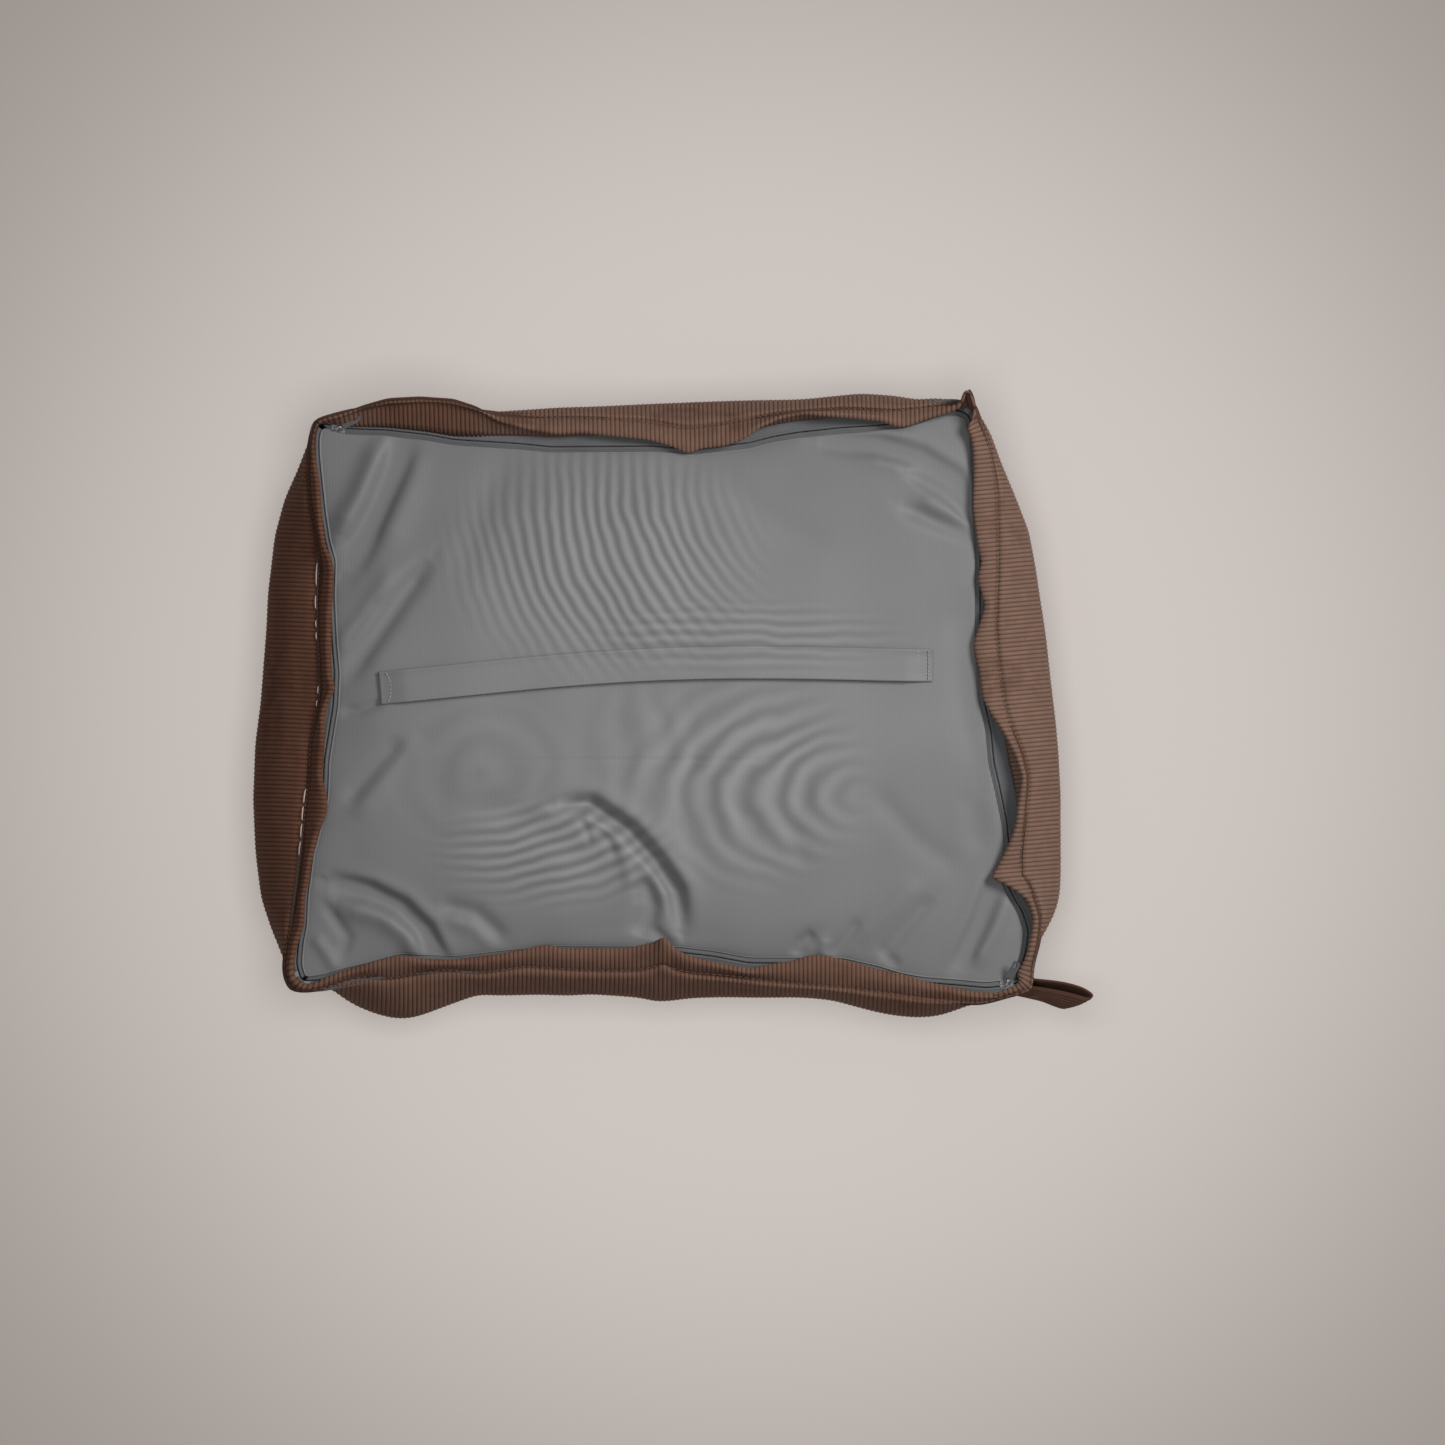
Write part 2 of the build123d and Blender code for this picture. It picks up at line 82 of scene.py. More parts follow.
# The free edge of the lip: offset from the chain.  It flares outwards at the back left, stands up
# half way along the back and the right side, and droops over the zip elsewhere.
LIP_EDGE = (
    (0.0, 7), (0.03, 9), (0.06, 15), (0.1, 20), (0.15, 21), (0.2, 19), (0.235, 13), (0.27, 3),
    (0.31, -3), (0.36, -7), (0.4, -6), (0.44, -9), (0.5, -13), (0.535, -18), (0.56, -24), (0.58, -20),
    (0.62, -18), (0.65, -13), (0.67, -6), (0.7, 0), (0.74, 4), (0.81, 1), (0.86, -2), (0.885, -7),
    (0.905, -6), (0.925, -2), (0.955, 2), (0.975, 6), (0.985, 9), (0.992, 14), (1.004, 1), (1.014, -5),
    (1.035, -2), (1.06, -1), (1.1, -2), (1.16, -5), (1.22, -4), (1.257, -2), (1.287, -6), (1.31, -4),
    (1.335, -2), (1.37, -8), (1.397, -13), (1.42, -13), (1.45, -11), (1.5, -10), (1.53, -4), (1.56, 3),
    (1.6, 10), (1.64, 14), (1.68, 10), (1.726, 6), (1.756, 0), (1.79, -9), (1.809, -14), (1.82, -9),
    (1.83, -2), (1.845, 5), (1.858, 10), (1.89, 13), (1.92, 10), (1.955, 5), (1.985, -3), (2.0, -2),
    (2.01, 3), (2.04, 9), (2.07, 7), (2.1, 3), (2.14, -1), (2.17, -6), (2.2, -9), (2.25, -16),
    (2.282, -19), (2.3, -18), (2.32, -14), (2.35, -12), (2.38, -9), (2.425, -14), (2.46, -18),
    (2.478, -22), (2.49, -28), (2.499, -31), (2.515, -28), (2.55, -24), (2.64, -23), (2.66, -26),
    (2.69, -23), (2.73, -19), (2.79, -15), (2.82, -15), (2.865, -18), (2.89, -15), (2.915, -11),
    (2.945, -6), (2.965, -2), (2.98, 3), (2.99, 6), (3.0, 3), (3.012, 8), (3.03, 8), (3.07, 5),
    (3.1, 1), (3.15, 1), (3.18, -1), (3.22, -3), (3.255, -6), (3.28, -9), (3.3, -12), (3.32, -13),
    (3.345, -11), (3.37, -8), (3.45, -9), (3.48, -8), (3.5, -10), (3.53, -15), (3.555, -12),
    (3.59, -11), (3.66, -10), (3.7, -11), (3.745, -11), (3.765, -9), (3.79, -4), (3.83, -1),
    (3.9, 2), (3.95, 6), (3.98, 8),
)
# Height of that edge over the zip tape.
LIP_HEIGHT = (
    (0.0, 14), (0.05, 18), (0.12, 23), (0.2, 21), (0.28, 15), (0.36, 11), (0.5, 10), (0.56, 8),
    (0.62, 10), (0.7, 14), (0.78, 15), (0.86, 11), (0.9, 9), (0.95, 10), (0.985, 17), (0.992, 21),
    (1.004, 14), (1.05, 10), (1.2, 9), (1.4, 8), (1.5, 9), (1.58, 13), (1.64, 17), (1.72, 14),
    (1.79, 10), (1.81, 9), (1.84, 13), (1.9, 13), (1.96, 8), (2.03, 5), (2.07, 6), (2.2, 8), (2.28, 10),
    (2.38, 8), (2.46, 10), (2.5, 15), (2.54, 10), (2.66, 10), (2.8, 8), (2.87, 10), (2.95, 7),
    (3.0, 8), (3.1, 10), (3.31, 14), (3.4, 10), (3.53, 14), (3.6, 11), (3.75, 14), (3.85, 12),
    (3.95, 14),
)
# The row of stitches that makes the lip: offset, and height over the zip tape.
STITCH_ROW = (
    (0.0, 8), (0.05, 14), (0.1, 17), (0.18, 17), (0.23, 12), (0.27, 9), (0.33, 6), (0.4, 5),
    (0.5, 1), (0.56, -5), (0.62, -2), (0.7, 5), (0.8, 8), (0.88, 5), (0.95, 9), (0.985, 11),
    (1.0, 4), (1.03, 8), (1.06, 12), (1.12, 14), (1.2, 12), (1.26, 10), (1.32, 7), (1.38, 4),
    (1.43, 4), (1.5, 5), (1.54, 8), (1.6, 16), (1.65, 18), (1.7, 14), (1.756, 9), (1.8, 6),
    (1.84, 13), (1.89, 18), (1.93, 15), (1.97, 8), (2.01, 8), (2.06, 16), (2.1, 14), (2.15, 11),
    (2.185, 8), (2.24, 4), (2.34, 0), (2.4, -4), (2.47, -7), (2.503, -13), (2.53, -8), (2.6, -8),
    (2.64, -9), (2.69, -11), (2.75, -6), (2.8, -8), (2.84, -5), (2.88, -1), (2.92, -3), (2.953, 3),
    (2.975, 8), (3.0, 11), (3.02, 15), (3.06, 13), (3.1, 10), (3.16, 7), (3.25, 4), (3.32, 3),
    (3.36, 1), (3.43, 1), (3.49, -4), (3.53, -5), (3.57, -4), (3.62, -2), (3.7, 0), (3.75, -1),
    (3.79, 2), (3.83, 5), (3.88, 9), (3.93, 11), (3.97, 10),
)
STITCH_HEIGHT = (
    (0.0, 3), (0.1, 1), (0.2, 1), (0.3, 4), (0.5, 5), (0.9, 4), (1.0, 3), (1.1, 5), (1.5, 5),
    (1.65, 2), (1.8, 5), (2.0, 2), (2.2, 4), (2.5, 4), (2.8, 3), (3.0, 2), (3.2, 2), (3.6, 2), (3.9, 3),
)
# How deep the row of stitches pulls the cloth in.
CREASE = (
    (0.0, 2), (0.08, 0.4), (0.24, 0.4), (0.3, 1.5), (0.42, 2.0), (0.6, 2.5), (0.9, 2), (1.0, 1.5),
    (1.1, 1.6), (1.4, 2.0), (1.55, 1.0), (1.72, 1.0), (1.8, 2.5), (1.95, 1.5), (2.05, 1.5), (2.2, 3),
    (2.6, 4), (2.9, 3), (3.0, 1.5), (3.1, 2), (3.25, 4), (3.75, 4), (3.9, 2.5),
)
# Places where the lip is pulled out of line: station, half width in stations, and the pull in
# millimetres along x, y and z.
LIP_PULLS = (
    (0.990, 0.009, (-4, 9, 9)),
    (2.4986, 0.010, (0, 2, 4)),
    (1.812, 0.008, (-2, 0, 2)),
)
# How far the wall stands out at its fullest.
BULGE = (
    (0.0, 7), (0.05, 11), (0.1, 14), (0.18, 12), (0.26, 9), (0.31, 10), (0.37, 12), (0.5, 13),
    (0.66, 14), (0.74, 14), (0.83, 17), (0.885, 15), (0.915, 12), (0.94, 13), (0.97, 11), (0.985, 7),
    (1.0, 3), (1.022, 8), (1.04, 12), (1.085, 18), (1.146, 27), (1.21, 35), (1.27, 37), (1.33, 38),
    (1.4, 40), (1.54, 42), (1.6, 42), (1.68, 41), (1.75, 38), (1.81, 35), (1.845, 33), (1.87, 30),
    (1.89, 26), (1.91, 21), (1.925, 16), (1.945, 12), (1.965, 9), (1.99, 4), (2.01, 10), (2.04, 12),
    (2.06, 14), (2.075, 16), (2.097, 21), (2.12, 25), (2.145, 26), (2.17, 25), (2.2, 22), (2.235, 17),
    (2.265, 13), (2.31, 11), (2.41, 11), (2.46, 12), (2.486, 14), (2.51, 15), (2.527, 12), (2.6, 10),
    (2.63, 11), (2.67, 10), (2.73, 11), (2.755, 10), (2.787, 16), (2.817, 22), (2.843, 27), (2.86, 28),
    (2.88, 27), (2.905, 23), (2.93, 17), (2.947, 10), (2.96, 4), (2.98, 2), (3.0, 5), (3.03, 12),
    (3.06, 18), (3.09, 24), (3.144, 32), (3.235, 38), (3.326, 42), (3.42, 42), (3.5, 39), (3.63, 37),
    (3.7, 37), (3.8, 33), (3.87, 26), (3.925, 17), (3.96, 12), (3.98, 9),
)
# The edge of the base panel, where its own zip tape comes out from under the hem.
PANEL_EDGE = (
    (0.0, 2), (0.03, -4), (0.1, -6), (0.16, -10), (0.2, -14), (0.25, -16), (0.3, -18), (0.35, -21),
    (0.51, -22), (0.57, -25), (0.61, -23), (0.656, -21), (0.69, -17), (0.73, -14), (0.8, -11),
    (0.85, -10), (0.9, -8), (0.95, 0), (0.975, 1), (0.99, -2), (1.0, -6), (1.01, -6), (1.03, -3),
    (1.1, -4), (1.16, -6), (1.25, -7), (1.37, -12), (1.5, -14), (1.55, -11), (1.61, -11), (1.66, -8),
    (1.72, -5), (1.763, -5), (1.8, -10), (1.825, -9), (1.85, -5), (1.878, 1), (1.913, 4), (1.95, 0),
    (1.97, -4), (1.99, -6), (2.02, -2), (2.05, 0), (2.09, -2), (2.14, -4), (2.17, -7), (2.2, -12),
    (2.25, -18), (2.32, -18), (2.38, -18), (2.43, -23), (2.48, -26), (2.55, -26), (2.66, -26),
    (2.73, -22), (2.79, -18), (2.865, -20), (2.91, -13), (2.95, -8), (2.975, -4), (3.0, -3),
    (3.03, 1), (3.07, 0), (3.1, -2), (3.15, -2), (3.23, -5), (3.26, -8), (3.33, -14), (3.4, -14),
    (3.46, -17), (3.5, -19), (3.56, -19), (3.62, -16), (3.7, -13), (3.76, -13), (3.8, -8),
    (3.85, -4), (3.9, -1), (3.95, 2), (3.98, 3),
)
# How much of the zip shows between the hem of the base panel and the lip's inner layer.
ZIP_WIDTH = (
    (0.0, 5), (0.2, 6), (0.3, 10), (0.35, 12), (0.5, 14), (0.9, 12), (1.0, 9), (1.3, 13), (1.52, 13),
    (1.62, 16), (1.72, 15), (1.8, 12), (1.9, 10), (2.0, 9), (2.2, 10), (2.5, 14), (2.8, 12),
    (2.93, 13), (3.0, 10), (3.2, 10), (3.5, 14), (3.8, 12), (3.95, 6),
)

# Folds of the base panel: points in millimetres in plan, depth, half width and lean of each fold.
FOLDS = (
    (((-192, 206), (-200, 180), (-214, 148), (-236, 104)), -9.5, 10, 1.3),
    (((-206, 200), (-222, 160), (-240, 130)), 4.5, 9, 0.0),
    (((-182, 196), (-190, 160), (-206, 120)), 2.6, 12, 0.0),
    (((-172, 112), (-190, 88), (-212, 56), (-238, 22)), -5.0, 8, 0.9),
    (((-196, 106), (-220, 66), (-240, 44)), 2.4, 7, 0.0),
    (((-206, 84), (-222, 62), (-234, 46)), -1.6, 4, 0.0),
    (((-226, 128), (-238, 118), (-244, 104)), -2.0, 4, 0.0),
    (((-238, -3), (-222, -2), (-204, 5)), -2.4, 4, 0.0),
    (((-190, -22), (-212, -48), (-234, -72)), -3.2, 7, 0.0),
    (((-178, -18), (-204, -50), (-226, -84)), 2.2, 9, 0.0),
    (((-244, -128), (-214, -135), (-190, -147), (-172, -165), (-158, -194)), -9.5, 8, -1.3),
    (((-240, -148), (-206, -154), (-186, -168), (-174, -190)), 5.0, 9, 0.0),
    (((-250, -146), (-240, -160), (-232, -172), (-237, -188)), -3.0, 4, 0.0),
    (((-258, -170), (-246, -186), (-240, -198)), 2.2, 5, 0.0),
    (((-163, -145), (-135, -152), (-112, -174)), -3.2, 7, -0.4),
    (((-160, -156), (-136, -164), (-122, -180)), 1.6, 6, 0.0),
    (((-74, -75), (-50, -74), (-22, -93), (-2, -116), (12, -138), (16, -166)), -9.0, 7, 1.1),
    (((-60, -64), (-34, -72), (-4, -96), (18, -124), (28, -152)), 3.0, 10, 0.0),
    (((-10, -126), (-5, -148), (-12, -172)), -7.0, 8, 0.0),
    (((-34, -96), (-22, -116), (-18, -136)), 2.0, 6, 0.0),
    (((-46, -90), (-36, -98), (-30, -112)), -1.8, 4, 0.0),
    (((-58, -82), (-52, -92), (-50, -102)), -1.4, 3, 0.0),
    (((-4, -166), (4, -172), (10, -180)), -3.0, 4, 0.0),
    (((252, -126), (240, -158), (222, -196)), -8.0, 7, 1.2),
    (((264, -136), (252, -166), (236, -194)), 3.0, 8, 0.0),
    (((206, -140), (188, -162), (168, -186)), -2.6, 6, 0.0),
    (((196, -128), (176, -150), (150, -176)), 1.6, 7, 0.0),
    (((152, -158), (140, -174), (130, -186)), -2.0, 4, 0.0),
    (((118, -168), (108, -176), (104, -186)), -3.4, 5, 0.0),
    (((126, -172), (124, -182), (128, -190)), 2.0, 4, 0.0),
    (((168, -178), (172, -186), (180, -194)), -2.8, 4, 0.0),
    (((120, 203), (166, 199), (198, 190), (224, 174), (242, 150)), -7.5, 8, -1.2),
    (((146, 192), (186, 182), (214, 166), (236, 144)), 2.8, 8, 0.0),
    (((186, 176), (214, 160), (242, 136)), -5.5, 6, 0.9),
    (((196, 158), (214, 146), (238, 130)), 2.4, 6, 0.0),
    (((180, 150), (208, 138), (240, 128)), -3.6, 7, 0.6),
    (((110, 206), (150, 206), (200, 206)), 1.6, 6, 0.0),
    (((-132, -39), (108, -39)), -0.45, 1.2, 0.0),
    (((30, -34), (24, -70), (34, -100)), -1.4, 9, 0.0),
    (((74, -44), (62, -76), (70, -110)), -1.4, 9, 0.0),
    (((112, -56), (100, -90), (112, -120)), -1.2, 8, 0.0),
    (((-110, 200), (-128, 150), (-150, 96)), -1.3, 12, 0.0),
    (((40, 186), (70, 150), (130, 118)), -1.0, 12, 0.0),
    (((-150, -60), (-100, -84), (-40, -120)), -1.2, 12, 0.0),
    (((160, -60), (196, -100), (226, -120)), -1.4, 9, 0.0),
    (((236, 90), (228, 30), (238, -40)), -2.6, 12, 0.0),
    (((250, -30), (236, -70), (244, -110)), -2.4, 10, 0.0),
)
# Rings of the watered pattern, in millimetres: their middle, the distance between rings along x and
# y, the middle and the reach along x and y of the patch where they show, and their strength.
WATERED = (
    ((145, 178), (9.6, 9.6), (-40, 112), (112, 82), 0.30),
    ((158, -66), (23.0, 13.0), (66, -56), (86, 76), 0.24),
    ((-150, -22), (15.0, 9.0), (-76, -108), (84, 40), 0.26),
    ((-132, -48), (27.0, 24.0), (-128, -50), (84, 62), 0.06),
    ((420, 20), (26.0, 60.0), (-14, -28), (48, 52), 0.09),
    ((130, 330), (60.0, 8.6), (66, 52), (112, 28), 0.17),
)


# ---------------------------------------------------------------- sizes and colours
def length(label, text, value, least):
    """A size property in metres."""
    return bpy.props.FloatProperty(
        name=label, description=text, default=value, min=least, unit="LENGTH")


class BedSizes(bpy.types.PropertyGroup):
    """Sizes that a maker would change."""

    wale_pitch: length("Wale pitch", "Distance between two corduroy wales", 0.0033, 0.001)
    wale_height: length("Wale height", "Height of the pile over the groove", 0.0007, 0.0)
    cloth: length("Corduroy thickness", "Thickness of the backing", 0.0018, 0.0005)
    panel_cloth: length("Base cloth thickness", "Thickness of the coated base cloth", 0.0008, 0.0002)
    panel_rise: length("Panel rise", "How far the stuffing lifts the base panel", 0.0125, 0.0)
    fold_depth: bpy.props.FloatProperty(
        name="Fold depth", description="Share of each fold's own depth", default=1.0, min=0.0,
        subtype="FACTOR")
    strap_width: length("Strap width", "Width of the belt strap", 0.0245, 0.01)
    strap_lift: length("Strap lift", "How far the strap stands off the base panel", 0.0028, 0.001)
    coil_pitch: length("Coil pitch", "Distance between two teeth of the zips", 0.0016, 0.001)
    stitch: length("Stitch", "Length of a machine stitch", 0.0032, 0.001)


def colour(label, text, value):
    """A colour property with its three linear parts."""
    return bpy.props.FloatVectorProperty(
        name=label, description=text, default=value, size=3, min=0.0, max=1.0, subtype="COLOR")


class BedColours(bpy.types.PropertyGroup):
    """Linear colours of the cloths, threads and metal."""

    # pile and groove colours: partly the cloth's own, partly painted highlight on the pile and painted
    # shade in the groove
    pile: colour("Pile", "Top of the corduroy wales", (0.198, 0.125, 0.096))
    groove: colour("Groove", "Ground between the wales", (0.100, 0.055, 0.040))
    rubbed: colour("Rubbed pile", "Pile pushed the other way", (0.122, 0.062, 0.044))
    # painted shade: this tint multiplies a wall's colour by its share of painted shade, making it darker
    # and redder
    painted_shade: colour("Painted shade", "Multiplies a wall's colour where its nap lies away", (0.66, 0.49, 0.41))
    base_cloth: colour("Base cloth", "Coated cloth of the base panel", (0.213, 0.214, 0.217))
    tape: colour("Zip tape", "Woven tape of the zips", (0.115, 0.118, 0.123))
    coil: colour("Zip coil", "Coils of the zips", (0.075, 0.078, 0.082))
    metal: colour("Slider metal", "Lacquered sliders and pulls", (0.27, 0.27, 0.28))
    liner: colour("Liner", "Non-woven bag of the inner cushion", (0.72, 0.71, 0.68))
    grey_thread: colour("Grey thread", "Thread of the base panel", (0.36, 0.365, 0.37))
    brown_thread: colour("Brown thread", "Thread of the corduroy", (0.12, 0.068, 0.05))
    basting: colour("Basting thread", "Long pale stitches left in the lip", (0.62, 0.50, 0.42))
    # painted light falloff: the colour that the floor is painted toward, away from its painted pool of
    # light
    floor_painted_falloff: colour("Far floor", "Floor away from the bed", (0.345, 0.307, 0.281))
    floor: colour("Floor", "Plain pale floor", (0.60, 0.555, 0.525))


def sizes():
    """The sizes in use."""
    return bpy.context.scene.bed_sizes


def colours():
    """The colours in use."""
    return bpy.context.scene.bed_colours


# ---------------------------------------------------------------- curves round the bed
def smoothed_ring(values, width):
    """A closed ring of values, weighted by a bell curve of that half width in stations."""
    frequency = np.fft.rfftfreq(len(values), 4 / len(values))
    gain = np.exp(-2 * (np.pi * width * frequency) ** 2)
    if values.ndim > 1:
        gain = gain[:, None]
    return np.fft.irfft(np.fft.rfft(values, axis=0) * gain, len(values), axis=0)


def ring(knots, width=0.006):
    """One value for each of STATIONS: straight between the knots, round the bed, then smoothed."""
    marks, values = np.array(knots, float).T
    marks = np.concatenate((marks - 4, marks, marks + 4))
    return smoothed_ring(np.interp(STATIONS, marks, np.tile(values, 3)), width)


def at(values, stations):
    """A ring read at any stations, straight between its samples."""
    wrapped = np.mod(stations, 4)
    marks = np.append(STATIONS, 4.0)
    closed = np.concatenate((values, values[:1]))
    if closed.ndim == 1:
        return np.interp(wrapped, marks, closed)
    return np.stack([np.interp(wrapped, marks, column) for column in closed.T], axis=-1)


def chain_rings():
    """The chain's own line with slightly eased corners, and its outward normals, turned slowly."""
    index = np.floor(STATIONS).astype(int) % 4
    share = (STATIONS - np.floor(STATIONS))[:, None]
    line = CHAIN[index] * (1 - share) + CHAIN[(index + 1) % 4] * share
    along = np.roll(CHAIN, -1, axis=0) - CHAIN
    along /= np.linalg.norm(along, axis=1)[:, None]
    outward = np.stack((-along[:, 1], along[:, 0]), axis=1)[index]
    outward = smoothed_ring(outward, 0.035)
    outward /= np.linalg.norm(outward, axis=1)[:, None]
    return smoothed_ring(line, 0.006), outward


LINE, OUTWARD = chain_rings()
RINGS = {
    "edge": ring(LIP_EDGE, 0.005),
    "edge_height": ring(LIP_HEIGHT, 0.012),
    "stitch": ring(STITCH_ROW, 0.010),
    "stitch_height": ring(STITCH_HEIGHT, 0.02),
    "bulge": ring(BULGE, 0.010),
    "crease": ring(CREASE, 0.020),
    "panel": ring(PANEL_EDGE, 0.006),
    "zip": ring(ZIP_WIDTH, 0.02),
}


def plumb(plan, level):
    """Plan points brought to a level: they spread from EYE by their depth under the zip, over
    EYE_HEIGHT, because the outlines were set out as seen from above."""
    spread = 1 + (TAPE_LEVEL - level) / EYE_HEIGHT
    return EYE + (plan - EYE) * np.asarray(spread)[..., None]


def raised(plan, level):
    """Plan points at a level, as points in space."""
    level = np.broadcast_to(np.asarray(level, float), plan.shape[:-1])
    return np.concatenate((plan, level[..., None]), axis=-1)


def rim(stations, offset, level):
    """Points at an offset, in millimetres, out from the chain, at a level in metres."""
    level = np.broadcast_to(np.asarray(level, float), np.shape(stations))
    plan = at(LINE, stations) + at(OUTWARD, stations) * (np.asarray(offset) / 1000)[..., None]
    return raised(plumb(plan, level), level)


# ---------------------------------------------------------------- surfaces
def spline_rows(knots, rows):
    """A smooth curve through knots (first axis): each span is the cubic whose slope at a knot is
    half the step between the knots beside it.  rows gives each span's number of samples."""
    before = np.concatenate((2 * knots[:1] - knots[1:2], knots[:-1]))
    after = np.concatenate((knots[1:], 2 * knots[-1:] - knots[-2:-1]))
    slope = (after - before) / 2
    parts = []
    for span, count in enumerate(rows):
        t = (np.arange(count) / count).reshape((-1,) + (1,) * (knots.ndim - 1))
        first, last = knots[span], knots[span + 1]
        parts.append(
            (2 * t**3 - 3 * t**2 + 1) * first + (t**3 - 2 * t**2 + t) * slope[span]
            + (3 * t**2 - 2 * t**3) * last + (t**3 - t**2) * slope[span + 1])
    parts.append(knots[-1:])
    return np.concatenate(parts)


def grid_faces(rows, columns, wrap_rows=False, wrap_columns=False):
    """Quads of a grid of points, row by row.  A face points along (row step) x (column step)."""
    row_count = rows if wrap_rows else rows - 1
    column_count = columns if wrap_columns else columns - 1
    r, c = np.meshgrid(np.arange(row_count), np.arange(column_count), indexing="ij")
    r1, c1 = (r + 1) % rows, (c + 1) % columns
    quads = np.stack((r * columns + c, r1 * columns + c, r1 * columns + c1, r * columns + c1), -1)
    return quads.reshape(-1, 4)


def closing_faces(count):
    """Quads that close a ring of points: each joins two neighbours to the two points that are as
    far from the ring's end as they are from its start."""
    i = np.arange(count // 2 - 1)
    return np.stack((i + 1, i, count - 1 - i, count - 2 - i), axis=1)


def tube_faces(rows, columns):
    """Quads of a closed outline carried along the columns, with both ends closed."""
    walls = grid_faces(rows, columns, wrap_rows=True)
    first = closing_faces(rows) * columns
    last = first[:, ::-1] + columns - 1
    return np.concatenate((walls, first, last))


def grid_normals(points):
    """Unit normals of a grid of points, along (row step) x (column step)."""
    down = np.gradient(points, axis=0)
    across = np.gradient(points, axis=1)
    normal = np.cross(down, across)
    length = np.linalg.norm(normal, axis=-1, keepdims=True)
    return normal / np.maximum(length, 1e-12)


def make_piece(name, points, faces, material, attributes=()):
    """An object at the origin with these points and faces, its material and point attributes."""
    mesh = bpy.data.meshes.new(name)
    sides = faces.shape[1]
    mesh.vertices.add(points.size // 3)
    mesh.vertices.foreach_set("co", points.astype(np.float32).ravel())
    mesh.loops.add(faces.size)
    mesh.loops.foreach_set("vertex_index", faces.astype(np.int32).ravel())
    mesh.polygons.add(len(faces))
    mesh.polygons.foreach_set("loop_start", np.arange(len(faces), dtype=np.int32) * sides)
    mesh.polygons.foreach_set("use_smooth", np.ones(len(faces), bool))
    for key, values in dict(attributes).items():
        layer = mesh.attributes.new(key, "FLOAT", "POINT")
        layer.data.foreach_set("value", np.asarray(values, np.float32).ravel())
    mesh.materials.append(material)
    mesh.update(calc_edges=True)
    if mesh.validate():
        raise RuntimeError(f"{name} had faces that Blender had to repair")
    piece = bpy.data.objects.new(name, mesh)
    bpy.context.scene.collection.objects.link(piece)
    return piece


def plan_of(points):
    """The point values by which a cloth's pattern stays with it when it moves."""
    return {"plan_x": points[..., 0], "plan_y": points[..., 1]}


def ridge(places, spread=0.55):
    """Height of a wale across its pitch, 0 in the groove to 1 on the pile: a sine lobe raised to a
    power below 1, which rounds the top and narrows the groove."""
    return np.abs(np.sin(np.pi * places)) ** spread


WALE_SAMPLES = np.array((0.0, 0.13, 0.3, 0.5, 0.7, 0.87))


def wale_stations(side):
    """Stations of the columns of one side band: six across each wale, a whole number of wales."""
    count = round(SIDE_LENGTHS[side] / sizes().wale_pitch)
    places = (np.arange(count)[:, None] + WALE_SAMPLES).ravel()
    places = np.append(places, count)
    return side + places / count, places


def soft_noise(points, scale, seed):
    """Slow waves in space: a sum of eight sines whose directions and phases the seed fixes."""
    rng = np.random.default_rng(seed)
    total = np.zeros(points.shape[:-1])
    for _ in range(8):
        direction = rng.normal(size=3)
        direction *= rng.uniform(0.6, 1.6) / np.linalg.norm(direction)
        total += np.sin(points @ direction / scale + rng.uniform(0, 2 * np.pi))
    return total / 3


def seam_below(bulge):
    """The seam's point under each point of the bulge: the one on the same ray, in the
    superellipse's own measure."""
    scaled = bulge[..., :2] / SEAM_HALF
    size = (np.abs(scaled) ** CORNER_POWER).sum(axis=-1) ** (1 / CORNER_POWER)
    return bulge[..., :2] / size[..., None]


